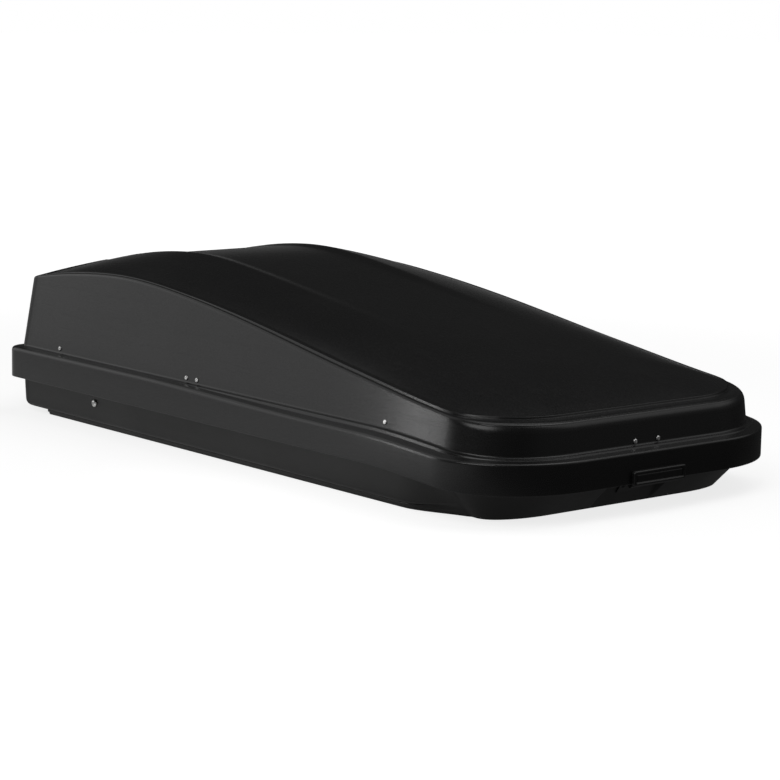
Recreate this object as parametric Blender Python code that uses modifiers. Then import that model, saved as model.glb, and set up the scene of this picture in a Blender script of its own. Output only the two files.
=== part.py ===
"""A car's roof box: two formed plastic shells, a nose hinge, folding stays and a cam lock at the rear.

Metres, +Z up. The nose points along -Y, the car's left is +X, and the origin is the middle of the
footprint on the surface that the box stands on.
"""
import math

import bmesh
import bpy
from mathutils import Matrix, Vector
from mathutils.geometry import interpolate_bezier

# Overall plan of the lid's rim
LENGTH = 1.600
WIDTH = 0.800
NOSE_FLAT_HALF = 0.180
NOSE_CORNER_LENGTH = 0.173
NOSE_CORNER_PULL_FRONT = 0.50
NOSE_CORNER_PULL_SIDE = 0.615
REAR_CORNER_RADIUS = 0.080

# Shells
SHELL_THICKNESS = 0.0035
RIM_FOOT_Z = 0.078
RIM_SHOULDER_Z = 0.1437
RIM_SHOULDER_RADIUS = 0.022
NOSE_DIP = 0.0186
NOSE_DIP_START = 0.374
NOSE_DIP_END = 0.011
WALL_FOOT_INSET = 0.0303
WALL_LEAN = math.radians(6.7)
JOINT_GROOVE_DEPTH = 0.0008
JOINT_GROOVE_HALF = 0.0017
TOP_SHOULDER_RADIUS = 0.014
TOP_STEP_HEIGHT = 0.0016
TOP_STEP_WIDTH = 0.0030

# Height of the top edge, and of the crown above it, by distance from the nose
TOP_EDGE_HEIGHTS = ((0.00, 0.1860), (0.17, 0.1955), (0.45, 0.2360), (0.77, 0.2852),
                    (0.98, 0.3100), (1.20, 0.3255), (1.40, 0.3163), (1.60, 0.2875))
CROWN_HEIGHTS = ((0.00, 0.0280), (0.20, 0.0300), (0.45, 0.0360), (0.80, 0.0360),
                 (1.20, 0.0460), (1.60, 0.0250))
PILLOW_POWER = 4
FACET_SHARE = 0.72
RIDGE_HALF_SPACING = 0.165
PANEL_HALF_WIDTH = 0.130
PANEL_RECESS = 0.005
PANEL_FADE_START = 0.45
PANEL_FADE_END = 1.10
SPINE_FROM_NOSE = 0.40
SPINE_FROM_REAR = 0.38

# Base tray
BASE_LIP_INSET = 0.016
BASE_TOP_INSET = 0.031
BASE_FOOT_INSET = 0.035
BASE_FOOT_RADIUS = 0.012
PLINTH_HEIGHT = 0.010
PLINTH_INSET = 0.048
PLINTH_DRAFT = 0.001
PLINTH_REAR_INSET = 0.100
BOW_TOP_Z = 0.062
BOW_FOOT_INSET = 0.097
BOW_BLEND_START = 0.300
BOW_BLEND_END = 0.140
RECESS_HALF_WIDTH = 0.074
RECESS_WALL_RUN = 0.014
RECESS_DEPTH = 0.022
LID_SEAT_GAP = 0.0016

# Clearances
TOUCH_GAP = 0.0003
HOLE_CLEARANCE = 0.0004
CUTTER_MARGIN = 0.004

# Nose hinge
HINGE_BACK_FROM_NOSE = 0.0095
HINGE_Z = 0.0560
HINGE_PIN_RADIUS = 0.0025
HINGE_KNUCKLE_RADIUS = 0.0050
HINGE_HALF_WIDTH = 0.062
HINGE_BASE_KNUCKLE_HALF = 0.030
HINGE_LEAF_THICKNESS = 0.0020
HINGE_LEAF_TOP_Z = 0.152
HINGE_LEAF_DROP = 0.0035
HINGE_BASE_LEAF_LENGTH = 0.030
HINGE_SCREW_SPACING_HALF = 0.018
COVER_HALF_WIDTH = 0.0672
COVER_THICKNESS = 0.0080
COVER_FOOT_Z = 0.0570
COVER_TOP_Z = 0.0840
COVER_BEVEL = 0.0016

# Rivets and screws
RIVET_DOME_SHARES = ((0.55, 0.86), (0.88, 0.45))
RIVET_HEAD_RADIUS = 0.0048
RIVET_HEAD_HEIGHT = 0.0022
RIVET_SHANK_RADIUS = 0.0024
RIVET_GRIP = 0.0085
NOSE_RIVET_HALF_SPACING = 0.0296
NOSE_RIVET_Z = 0.1300
GUIDE_REAR_FROM_REAR = 0.1750
GUIDE_FRONT_FROM_NOSE = 0.3360
SIDE_RIVET_Z = 0.1545
ROUND_SEGMENTS = 16
SMALL_SEGMENTS = 12
LOCK_SEGMENTS = 20
HEAD_CHAMFER_SHARE = 0.4

# Stays
STAY_FOOT_FROM_REAR = 0.3074
STAY_FOOT_Z = 0.0540
STAY_TOP_FROM_NOSE = 0.9400
STAY_TOP_Z = 0.1530
STAY_RIVET_HALF_SPACING = 0.0180
LID_OPENING = math.radians(28)
STAY_OPEN_SLACK = 0.0155
STAY_CLOSED_SLACK = 0.0212
STAY_HALF_WIDTH = 0.011
STAY_THICKNESS = 0.0030
STAY_PLANE_INSET = 0.0460
STAY_PIN_RADIUS = 0.0030
STAY_PIN_HEAD_RADIUS = 0.0065
STAY_PIN_HEAD_HEIGHT = 0.0022
STAY_BOLT_HEAD_RADIUS = 0.0080
STAY_BOLT_HEAD_HEIGHT = 0.0048
STAY_SPACER_RADIUS = 0.0070
STAY_NUT_RADIUS = 0.0065
STAY_NUT_HEIGHT = 0.0050
STAY_BRACKET_HALF_LENGTH = 0.030
STAY_BRACKET_HALF_HEIGHT = 0.0140

# Guides that centre the lid on the tray
GUIDE_HALF_LENGTH = 0.020
GUIDE_TOP_Z = 0.168
GUIDE_FOOT_Z = 0.112
GUIDE_SHOULDER_Z = 0.1500
GUIDE_THICKNESS = 0.0035
GUIDE_TRAY_CLEARANCE = 0.0030

# Rear lock
LOCK_Z = 0.1060
LOCK_BARREL_RADIUS = 0.0110
LOCK_FLANGE_RADIUS = 0.0140
LOCK_FLANGE_HEIGHT = 0.0025
LOCK_BARREL_LENGTH = 0.0240
LOCK_PLUG_RADIUS = 0.0065
LOCK_PLUG_STAND = 0.0006
KEY_SLOT_HALF_WIDTH = 0.0011
KEY_SLOT_HALF_LENGTH = 0.0045
KEY_SLOT_DEPTH = 0.0080
LOCK_NUT_RADIUS = 0.0135
LOCK_NUT_HEIGHT = 0.0050
LOCK_CAM_LENGTH = 0.0275
LOCK_CAM_HALF_WIDTH = 0.0070
LOCK_CAM_THICKNESS = 0.0020
LOCK_NOTCH_HALF_WIDTH = 0.0200
CATCH_START = 0.0165
CATCH_END = 0.0420
CATCH_REACH = 0.0150
CATCH_FOOT_Z = 0.0840
CATCH_CAM_CLEARANCE = 0.0008
CATCH_RIVET_Z = 0.0920
CATCH_RIVET_FROM_END = 0.0075

# Floor bars and the slots beside them
BAR_HALF_LENGTH = 0.300
BAR_WIDTH = 0.040
BAR_HEIGHT = 0.012
BAR_THICKNESS = 0.0020
BAR_FRONT_FROM_NOSE = 0.470
BAR_REAR_FROM_NOSE = 1.130
SLOT_HALF_LENGTH = 0.030
SLOT_HALF_WIDTH = 0.0045
SLOT_FROM_MIDDLE = 0.230
SLOT_FROM_BAR = 0.010

# How finely curves are cut
CORNER_STEPS = 9
SIDE_STEPS = 13
REAR_CORNER_STEPS = 6
REAR_STEPS = 3
SHOULDER_STEPS = 3
TOP_RING_SHARES = (0.10, 0.25, 0.50, 0.61, 0.80, 1.0)

NOSE_Y = -LENGTH / 2
REAR_Y = LENGTH / 2
HALF_WIDTH = WIDTH / 2
HINGE_Y = NOSE_Y + HINGE_BACK_FROM_NOSE
STAY_FOOT_Y = REAR_Y - STAY_FOOT_FROM_REAR
STAY_TOP_Y = NOSE_Y + STAY_TOP_FROM_NOSE
SIDES = (("left", 1), ("right", -1))

BLACK_SHELL = ("black_shell", (0.030, 0.030, 0.029), 0.42, 0.0)
BLACK_TRAY = ("black_tray", (0.030, 0.031, 0.028), 0.50, 0.0)
BLACK_TRIM = ("black_trim", (0.020, 0.020, 0.020), 0.40, 0.0)
NYLON = ("black_nylon", (0.035, 0.035, 0.035), 0.55, 0.0)
ALUMINIUM = ("rivet_aluminium", (0.80, 0.80, 0.79), 0.30, 1.0)
ZINC = ("zinc_steel", (0.62, 0.62, 0.60), 0.35, 1.0)
CHROME = ("lock_chrome", (0.75, 0.75, 0.75), 0.15, 1.0)


# Scene, materials and object helpers

def clear_scene():
    for existing in list(bpy.data.objects):
        bpy.data.objects.remove(existing, do_unlink=True)


def new_collection(name):
    collection = bpy.data.collections.new(name)
    bpy.context.scene.collection.children.link(collection)
    return collection


def material_of(finish):
    name, colour, roughness, metallic = finish
    material = bpy.data.materials.get(name)
    if material is None:
        material = bpy.data.materials.new(name)
        material.use_nodes = True
        shader = material.node_tree.nodes["Principled BSDF"]
        shader.inputs["Base Color"].default_value = (*colour, 1.0)
        shader.inputs["Roughness"].default_value = roughness
        shader.inputs["Metallic"].default_value = metallic
    return material


def add_piece(name, mesh, finish, matrix=None):
    piece = bpy.data.objects.new(name, mesh)
    mesh.name = name
    mesh.materials.clear()
    mesh.materials.append(material_of(finish))
    PARTS.objects.link(piece)
    if matrix is not None:
        piece.matrix_world = matrix
    return piece


def add_cutter(name, mesh, matrix=None):
    cutter = bpy.data.objects.new(name, mesh)
    CUTTERS.objects.link(cutter)
    cutter.hide_render = True
    cutter.display_type = "WIRE"
    if matrix is not None:
        cutter.matrix_world = matrix
    return cutter


def combine(piece, other, operation="DIFFERENCE"):
    boolean = piece.modifiers.new(operation.title(), "BOOLEAN")
    boolean.operation = operation
    boolean.object = other
    boolean.solver = "EXACT"


def axes_matrix(origin, x_axis, y_axis):
    """Matrix with its local X and Y along two given directions."""
    x_axis = Vector(x_axis).normalized()
    z_axis = x_axis.cross(Vector(y_axis)).normalized()
    y_axis = z_axis.cross(x_axis)
    matrix = Matrix((x_axis, y_axis, z_axis)).transposed().to_4x4()
    matrix.translation = Vector(origin)
    return matrix


def along_matrix(origin, direction):
    """Matrix with its local Z along a direction."""
    turn = Vector((0, 0, 1)).rotation_difference(Vector(direction).normalized())
    return Matrix.Translation(Vector(origin)) @ turn.to_matrix().to_4x4()


def section_matrix(x):
    """Local X is the world's Y and local Y its Z: a profile drawn from the side is extruded across."""
    return axes_matrix((x, 0, 0), (0, 1, 0), (0, 0, 1))


def cross_matrix(y):
    """Local X is the world's X and local Y its Z: a profile drawn from behind is extruded along."""
    return axes_matrix((0, y, 0), (1, 0, 0), (0, 0, 1))


# Mesh helpers

def mesh_of_curve(name, curve):
    """The mesh of a filled curve, its caps welded."""
    holder = bpy.data.objects.new(name, curve)
    bpy.context.scene.collection.objects.link(holder)
    depsgraph = bpy.context.evaluated_depsgraph_get()
    mesh = bpy.data.meshes.new_from_object(holder.evaluated_get(depsgraph))
    bpy.data.objects.remove(holder, do_unlink=True)
    welded = bmesh.new()
    welded.from_mesh(mesh)
    bmesh.ops.remove_doubles(welded, verts=welded.verts, dist=0.00001)
    bmesh.ops.recalc_face_normals(welded, faces=welded.faces)
    welded.to_mesh(mesh)
    welded.free()
    return mesh


def flat_mesh(name, outlines, thickness):
    """A flat outline, with any further outlines as holes, given a thickness about its own plane."""
    curve = bpy.data.curves.new(name, "CURVE")
    curve.dimensions = "2D"
    curve.fill_mode = "BOTH"
    curve.extrude = thickness / 2
    for outline in outlines:
        spline = curve.splines.new("POLY")
        spline.points.add(len(outline) - 1)
        for point, (x, y) in zip(spline.points, outline):
            point.co = (x, y, 0, 1)
        spline.use_cyclic_u = True
    return mesh_of_curve(name, curve)


def circle_outline(radius, centre=(0, 0), segments=ROUND_SEGMENTS):
    return [(centre[0] + radius * math.cos(2 * math.pi * k / segments),
             centre[1] + radius * math.sin(2 * math.pi * k / segments)) for k in range(segments)]


def slot_outline(start, end, radius, steps=6):
    """Two half circles joined by straight sides."""
    start, end = Vector(start), Vector(end)
    heading = math.atan2(end.y - start.y, end.x - start.x)
    points = []
    for centre, first in ((end, heading - math.pi / 2), (start, heading + math.pi / 2)):
        for step in range(steps + 1):
            angle = first + math.pi * step / steps
            points.append((centre.x + radius * math.cos(angle), centre.y + radius * math.sin(angle)))
    return points


def strip_outline(path, thickness):
    """Outline of a bent strip: the path is one face, and the other lies on its left."""
    points = [Vector(point) for point in path]
    far_side = []
    for index, point in enumerate(points):
        before = points[max(index - 1, 0)]
        after = points[min(index + 1, len(points) - 1)]
        incoming = (point - before).normalized() if index else (after - point).normalized()
        outgoing = (after - point).normalized() if index < len(points) - 1 else incoming
        normal_in = Vector((-incoming.y, incoming.x))
        normal_out = Vector((-outgoing.y, outgoing.x))
        mitre = (normal_in + normal_out).normalized()
        far_side.append(point + mitre * thickness / mitre.dot(normal_in))
    return [tuple(point) for point in points + far_side[::-1]]


def turned_piece(name, profile, finish, matrix, segments=ROUND_SEGMENTS):
    """A profile of radius and height, listed from the top down its outer side, turned about local Z."""
    mesh = bpy.data.meshes.new(name)
    points = [(radius, 0, height) for radius, height in profile]
    closed = profile[0][0] > 0
    edges = [(index, index + 1) for index in range(len(points) - 1)]
    if closed:
        edges.append((len(points) - 1, 0))
    mesh.from_pydata(points, edges, [])
    piece = add_piece(name, mesh, finish, matrix)
    screw = piece.modifiers.new("Turn", "SCREW")
    screw.steps = segments
    screw.render_steps = segments
    screw.use_merge_vertices = True
    screw.merge_threshold = 0.00001
    return piece


def cylinder_mesh(name, radius, start, end, segments=ROUND_SEGMENTS):
    """A cylinder along local Z between two heights."""
    shape = bmesh.new()
    middle = Matrix.Translation((0, 0, (start + end) / 2))
    bmesh.ops.create_cone(shape, cap_ends=True, segments=segments, radius1=radius, radius2=radius,
                          depth=abs(end - start), matrix=middle)
    mesh = bpy.data.meshes.new(name)
    shape.to_mesh(mesh)
    shape.free()
    return mesh


def box_mesh(name, low, high):
    shape = bmesh.new()
    low, high = Vector(low), Vector(high)
    size = high - low
    matrix = Matrix.Translation((low + high) / 2) @ Matrix.Diagonal((*size, 1))
    bmesh.ops.create_cube(shape, size=1, matrix=matrix)
    mesh = bpy.data.meshes.new(name)
    shape.to_mesh(mesh)
    shape.free()
    return mesh


def bevelled(piece, width, segments=1):
    bevel = piece.modifiers.new("Edges", "BEVEL")
    bevel.width = width
    bevel.segments = segments
    bevel.limit_method = "ANGLE"


def smooth_step(share):
    share = min(max(share, 0.0), 1.0)
    return share * share * (3 - 2 * share)


def blend(first, second, share):
    return first + (second - first) * share


# Plan of the rim and the heights that follow it

def nose_stations():
    """Distances from the middle at which the straight part of the nose gets a point."""
    outer = RECESS_HALF_WIDTH + RECESS_WALL_RUN
    between = (outer + NOSE_FLAT_HALF) / 2
    return (0.0, RECESS_HALF_WIDTH / 2, RECESS_HALF_WIDTH, outer, between, NOSE_FLAT_HALF)


def half_plan():
    """Right half of the rim's outline, from the middle of the nose to the middle of the rear."""
    points = [Vector((-x, NOSE_Y)) for x in nose_stations()]
    corner_start = points[-1]
    corner_end = Vector((-HALF_WIDTH, NOSE_Y + NOSE_CORNER_LENGTH))
    reach = HALF_WIDTH - NOSE_FLAT_HALF
    front_handle = corner_start + Vector((-NOSE_CORNER_PULL_FRONT * reach, 0))
    side_handle = corner_end - Vector((0, NOSE_CORNER_PULL_SIDE * NOSE_CORNER_LENGTH))
    corner = interpolate_bezier(corner_start, front_handle, side_handle, corner_end, CORNER_STEPS + 1)
    points += [Vector(point[:2]) for point in corner[1:]]
    side_end = REAR_Y - REAR_CORNER_RADIUS
    for step in range(1, SIDE_STEPS + 1):
        points.append(Vector((-HALF_WIDTH, blend(corner_end.y, side_end, step / SIDE_STEPS))))
    centre = Vector((-HALF_WIDTH + REAR_CORNER_RADIUS, side_end))
    for step in range(1, REAR_CORNER_STEPS + 1):
        angle = math.pi - math.pi / 2 * step / REAR_CORNER_STEPS
        points.append(centre + REAR_CORNER_RADIUS * Vector((math.cos(angle), math.sin(angle))))
    for step in range(1, REAR_STEPS + 1):
        points.append(Vector((blend(centre.x, 0.0, step / REAR_STEPS), REAR_Y)))
    return points


def full_plan():
    """The whole outline with its inward normals, as pairs."""
    half = half_plan()
    other = [Vector((-point.x, point.y)) for point in reversed(half[1:-1])]
    points = half + other
    pairs = []
    for index, point in enumerate(points):
        before = points[index - 1]
        after = points[(index + 1) % len(points)]
        tangent = ((point - before).normalized() + (after - point).normalized()).normalized()
        pairs.append((point, Vector((tangent.y, -tangent.x))))
    return pairs


def nose_dip(y):
    start = NOSE_Y + NOSE_DIP_START
    end = NOSE_Y + NOSE_DIP_END
    return NOSE_DIP * smooth_step((start - y) / (start - end))


def smooth_curve(knots, y):
    """A smooth curve through named heights, each at a distance from the nose."""
    distance = min(max(y - NOSE_Y, knots[0][0]), knots[-1][0])
    index = next(k for k in range(len(knots) - 1) if distance <= knots[k + 1][0])

    def slope(k):
        low, high = max(k - 1, 0), min(k + 1, len(knots) - 1)
        return (knots[high][1] - knots[low][1]) / (knots[high][0] - knots[low][0])

    (x0, z0), (x1, z1) = knots[index], knots[index + 1]
    span = x1 - x0
    share = (distance - x0) / span
    squared, cubed = share ** 2, share ** 3
    return (z0 * (2 * cubed - 3 * squared + 1) + z1 * (3 * squared - 2 * cubed)
            + slope(index) * span * (cubed - 2 * squared + share)
            + slope(index + 1) * span * (cubed - squared))


def top_edge_height(y):
    return smooth_curve(TOP_EDGE_HEIGHTS, y)


def wall_inset(z, y):
    """Inset of the lid's leaning wall at a height."""
    return WALL_FOOT_INSET + (z - (RIM_SHOULDER_Z - nose_dip(y))) * math.tan(WALL_LEAN)


def top_height(x, y, share):
    """The lid's top at a share of the way in from its edge: a pillow at the nose that turns into two facets
    with a slightly lower panel between them."""
    edge = top_edge_height(y)
    half = HALF_WIDTH - wall_inset(edge, y)
    across = min(abs(x) / half, 1.0)
    ridge = RIDGE_HALF_SPACING / half
    crown = smooth_curve(CROWN_HEIGHTS, y)
    fade = smooth_step((y - NOSE_Y - PANEL_FADE_START) / (PANEL_FADE_END - PANEL_FADE_START))
    pillow = 1 - (1 - share) ** PILLOW_POWER
    arch = 1 - across ** PILLOW_POWER
    facet = min((1 - across) / (1 - ridge), 1.0)
    panel = smooth_step((RIDGE_HALF_SPACING - abs(x)) / (RIDGE_HALF_SPACING - PANEL_HALF_WIDTH))
    return edge + crown * blend(pillow, blend(arch, facet, FACET_SHARE), fade) - PANEL_RECESS * fade * panel


# The two shells

def ring_points(plan, station):
    """One ring of a shell: station gives inset and height for a point of the plan and its inward normal."""
    ring = []
    for point, inward in plan:
        inset, z = station(point, inward)
        moved = point + inward * inset
        ring.append((moved.x, moved.y, z))
    return ring


def loft(rings):
    """Faces between closed rings of equal count, welded."""
    shape = bmesh.new()
    rows = [[shape.verts.new(point) for point in ring] for ring in rings]
    count = len(rows[0])
    for lower, upper in zip(rows, rows[1:]):
        for index in range(count):
            after = (index + 1) % count
            shape.faces.new((lower[index], lower[after], upper[after], upper[index]))
    bmesh.ops.remove_doubles(shape, verts=shape.verts, dist=0.00001)
    return shape


def close_shell(shape, name, finish, outward_z):
    """Normals out, then a wall of the shell's thickness inward."""
    bmesh.ops.recalc_face_normals(shape, faces=shape.faces)
    shape.faces.ensure_lookup_table()
    widest = max(shape.faces, key=lambda face: abs(face.normal.z) * face.calc_area())
    if widest.normal.z * outward_z < 0:
        bmesh.ops.reverse_faces(shape, faces=shape.faces)
    mesh = bpy.data.meshes.new(name)
    shape.to_mesh(mesh)
    shape.free()
    piece = add_piece(name, mesh, finish)
    solidify = piece.modifiers.new("Wall", "SOLIDIFY")
    solidify.thickness = SHELL_THICKNESS
    solidify.offset = -1
    solidify.use_even_offset = True
    return piece


def lid_stations():
    """The lid's rings from the rim's foot to the edge of the top, each as a function of a plan point."""
    def shelf(point):
        return RIM_SHOULDER_Z - nose_dip(point.y)

    stations = [lambda point, inward: (0.0, RIM_FOOT_Z - nose_dip(point.y))]
    for step in range(SHOULDER_STEPS + 1):
        angle = math.pi / 2 * step / SHOULDER_STEPS
        inset = RIM_SHOULDER_RADIUS * (1 - math.cos(angle))
        drop = RIM_SHOULDER_RADIUS * (1 - math.sin(angle))
        stations.append(lambda point, inward, inset=inset, drop=drop: (inset, shelf(point) - drop))
    groove_start = WALL_FOOT_INSET - 2 * JOINT_GROOVE_HALF
    groove_middle = WALL_FOOT_INSET - JOINT_GROOVE_HALF
    stations.append(lambda point, inward: (groove_start, shelf(point)))
    stations.append(lambda point, inward: (groove_middle, shelf(point) - JOINT_GROOVE_DEPTH))
    stations.append(lambda point, inward: (WALL_FOOT_INSET, shelf(point)))
    reach = math.pi / 2 - WALL_LEAN
    for step in range(SHOULDER_STEPS + 1):
        angle = reach * step / SHOULDER_STEPS

        def shoulder(point, inward, angle=angle):
            edge = shoulder_height(point, inward)
            centre_inset = wall_inset(edge - TOP_SHOULDER_RADIUS, point.y) + TOP_SHOULDER_RADIUS
            inset = centre_inset - TOP_SHOULDER_RADIUS * math.cos(WALL_LEAN + angle)
            return inset, edge - TOP_SHOULDER_RADIUS * (1 - math.sin(WALL_LEAN + angle))
        stations.append(shoulder)
    return stations


def shoulder_height(point, inward):
    """Height of the wall's rounded shoulder, a small step below the edge of the top."""
    over = point + inward * (WALL_FOOT_INSET + TOP_SHOULDER_RADIUS + TOP_STEP_WIDTH)
    return top_height(over.x, over.y, 0.0) - TOP_STEP_HEIGHT


def top_edge_inset(point, inward):
    edge = shoulder_height(point, inward)
    return wall_inset(edge - TOP_SHOULDER_RADIUS, point.y) + TOP_SHOULDER_RADIUS + TOP_STEP_WIDTH


def spine_point(y):
    return 0.0, min(max(y, NOSE_Y + SPINE_FROM_NOSE), REAR_Y - SPINE_FROM_REAR)


def lid_rings():
    plan = full_plan()
    rings = [ring_points(plan, station) for station in lid_stations()]
    edge = ring_points(plan, lambda point, inward: (top_edge_inset(point, inward), 0.0))
    for share in (0.0,) + TOP_RING_SHARES:
        ring = []
        for x, y, _ in edge:
            spine_x, spine_y = spine_point(y)
            ring_x, ring_y = blend(x, spine_x, share), blend(y, spine_y, share)
            ring.append((ring_x, ring_y, top_height(ring_x, ring_y, share)))
        rings.append(ring)
    return rings


def make_lid():
    shape = loft(lid_rings())
    return close_shell(shape, "lid_shell", BLACK_SHELL, 1)


def lid_underside_drop(inset):
    """How far the rim's inner face lies below the shoulder's height at an inset within the shoulder."""
    inner = RIM_SHOULDER_RADIUS - SHELL_THICKNESS
    across = RIM_SHOULDER_RADIUS - inset
    return RIM_SHOULDER_RADIUS - math.sqrt(inner ** 2 - across ** 2)


def lip_underside(y):
    """The tray's wall ends in a lip whose top lies just under the lid's shoulder."""
    drop = lid_underside_drop(BASE_LIP_INSET) + LID_SEAT_GAP + SHELL_THICKNESS
    return RIM_SHOULDER_Z - nose_dip(y) - drop


def bow_share(point):
    """0 along the sides and rear, 1 across the nose."""
    start = NOSE_Y + BOW_BLEND_START
    end = NOSE_Y + BOW_BLEND_END
    return smooth_step((start - point.y) / (start - end))


def bow_inset(z):
    return blend(BOW_FOOT_INSET, BASE_TOP_INSET, z / BOW_TOP_Z)


def recess_inset(point, z):
    """Extra inset of the recess in the nose: full at the top of the bow and none at the floor."""
    if point.y > NOSE_Y + NOSE_CORNER_LENGTH:
        return 0.0
    share = 1 - smooth_step((abs(point.x) - RECESS_HALF_WIDTH) / RECESS_WALL_RUN)
    return share * RECESS_DEPTH * min(z / BOW_TOP_Z, 1.0)


def base_sections():
    """Pairs of side section and nose section, each an inset and a height; None is the lip's underside."""
    arc = math.sqrt(0.5)
    foot_centre = PLINTH_HEIGHT + BASE_FOOT_RADIUS
    quarter = BOW_TOP_Z / 4
    side = [(BASE_LIP_INSET, None), (BASE_TOP_INSET, None),
            (blend(BASE_TOP_INSET, BASE_FOOT_INSET, 0.5), BOW_TOP_Z),
            (BASE_FOOT_INSET, foot_centre),
            (BASE_FOOT_INSET + BASE_FOOT_RADIUS * (1 - arc), foot_centre - BASE_FOOT_RADIUS * arc),
            (PLINTH_INSET - 2 * PLINTH_DRAFT, PLINTH_HEIGHT), (PLINTH_INSET - PLINTH_DRAFT, PLINTH_HEIGHT),
            (PLINTH_INSET, 0.0)]
    nose = [(BASE_LIP_INSET, None), (BASE_TOP_INSET, None)]
    nose += [(bow_inset(z), z) for z in (BOW_TOP_Z, 3 * quarter, 2 * quarter, quarter, quarter / 2, 0.0)]
    return list(zip(side, nose))


def base_station(side, nose):
    def station(point, inward):
        share = bow_share(point)
        lip = lip_underside(point.y)
        side_z = lip if side[1] is None else side[1]
        nose_z = lip if nose[1] is None else nose[1]
        inset = blend(side[0], nose[0], share) + recess_inset(point, nose_z)
        return inset, blend(side_z, nose_z, share)
    return station


def make_base():
    plan = full_plan()
    sections = base_sections()
    rings = []
    for index, (side, nose) in enumerate(sections):
        ring = ring_points(plan, base_station(side, nose))
        on_plinth = index >= len(sections) - 2
        rings.append(plinth_ring(ring) if on_plinth else ring)
    shape = loft(rings)
    bmesh.ops.contextual_create(shape, geom=floor_edges(shape))
    return close_shell(shape, "base_shell", BLACK_TRAY, -1)


def plinth_ring(ring):
    """Draws the rear end of a ring forward, to where the plinth stops."""
    start = REAR_Y - 2 * PLINTH_REAR_INSET
    drawn = []
    for x, y, z in ring:
        if y > start:
            span = REAR_Y - PLINTH_INSET - start
            y = start + (y - start) * (REAR_Y - PLINTH_REAR_INSET - start) / span
        drawn.append((x, y, z))
    return drawn


def floor_edges(shape):
    """The open edges on the floor's plane."""
    return [edge for edge in shape.edges
            if edge.is_boundary and all(abs(vertex.co.z) < TOUCH_GAP for vertex in edge.verts)]


# Walls as places to fasten to

def lid_wall(side, y, z, depth=0.0):
    """A point on the lid's side wall, sunk by a depth, and the wall's outward normal."""
    normal = Vector((side * math.cos(WALL_LEAN), 0, math.sin(WALL_LEAN)))
    surface = Vector((side * (HALF_WIDTH - wall_inset(z, y)), y, z))
    return surface - normal * depth, normal


def nose_wall(x, z, depth=0.0):
    normal = Vector((0, -math.cos(WALL_LEAN), math.sin(WALL_LEAN)))
    surface = Vector((x, NOSE_Y + wall_inset(z, NOSE_Y), z))
    return surface - normal * depth, normal


def base_wall_inset(z):
    """Inset of the tray's side wall between its lip and its foot."""
    middle = blend(BASE_TOP_INSET, BASE_FOOT_INSET, 0.5)
    foot = PLINTH_HEIGHT + BASE_FOOT_RADIUS
    if z < BOW_TOP_Z:
        return blend(BASE_FOOT_INSET, middle, (z - foot) / (BOW_TOP_Z - foot))
    return blend(middle, BASE_TOP_INSET, (z - BOW_TOP_Z) / (lip_underside(REAR_Y) - BOW_TOP_Z))


def lid_side_inset_under(z):
    """Inset of the inner face of the lid's side wall."""
    return wall_inset(z, REAR_Y) + SHELL_THICKNESS / math.cos(WALL_LEAN)


def drill(piece, name, origin, direction, radius, depth):
    """A round hole from outside a point to a depth behind it."""
    mesh = cylinder_mesh(name, radius, -depth, CUTTER_MARGIN, SMALL_SEGMENTS)
    combine(piece, add_cutter(name, mesh, along_matrix(origin, direction)))


# Rivets

def rivet(name, origin, direction, through):
    """A domed head against the wall with its shank through the wall and what is behind it."""
    base = TOUCH_GAP
    profile = [(0.0, base + RIVET_HEAD_HEIGHT)]
    profile += [(RIVET_HEAD_RADIUS * out, base + RIVET_HEAD_HEIGHT * up) for out, up in RIVET_DOME_SHARES]
    profile += [(RIVET_HEAD_RADIUS, base), (RIVET_SHANK_RADIUS, base), (RIVET_SHANK_RADIUS, -RIVET_GRIP),
                (0.0, -RIVET_GRIP)]
    piece = turned_piece(name, profile, ALUMINIUM, along_matrix(origin, direction), SMALL_SEGMENTS)
    for index, held in enumerate(through):
        drill(held, f"{name}_hole_{index}", origin, direction, RIVET_SHANK_RADIUS + HOLE_CLEARANCE,
              RIVET_GRIP + HOLE_CLEARANCE)
    return piece


# Nose hinge

def shelf_underside():
    return RIM_SHOULDER_Z - NOSE_DIP - SHELL_THICKNESS - 2 * JOINT_GROOVE_DEPTH


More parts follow.
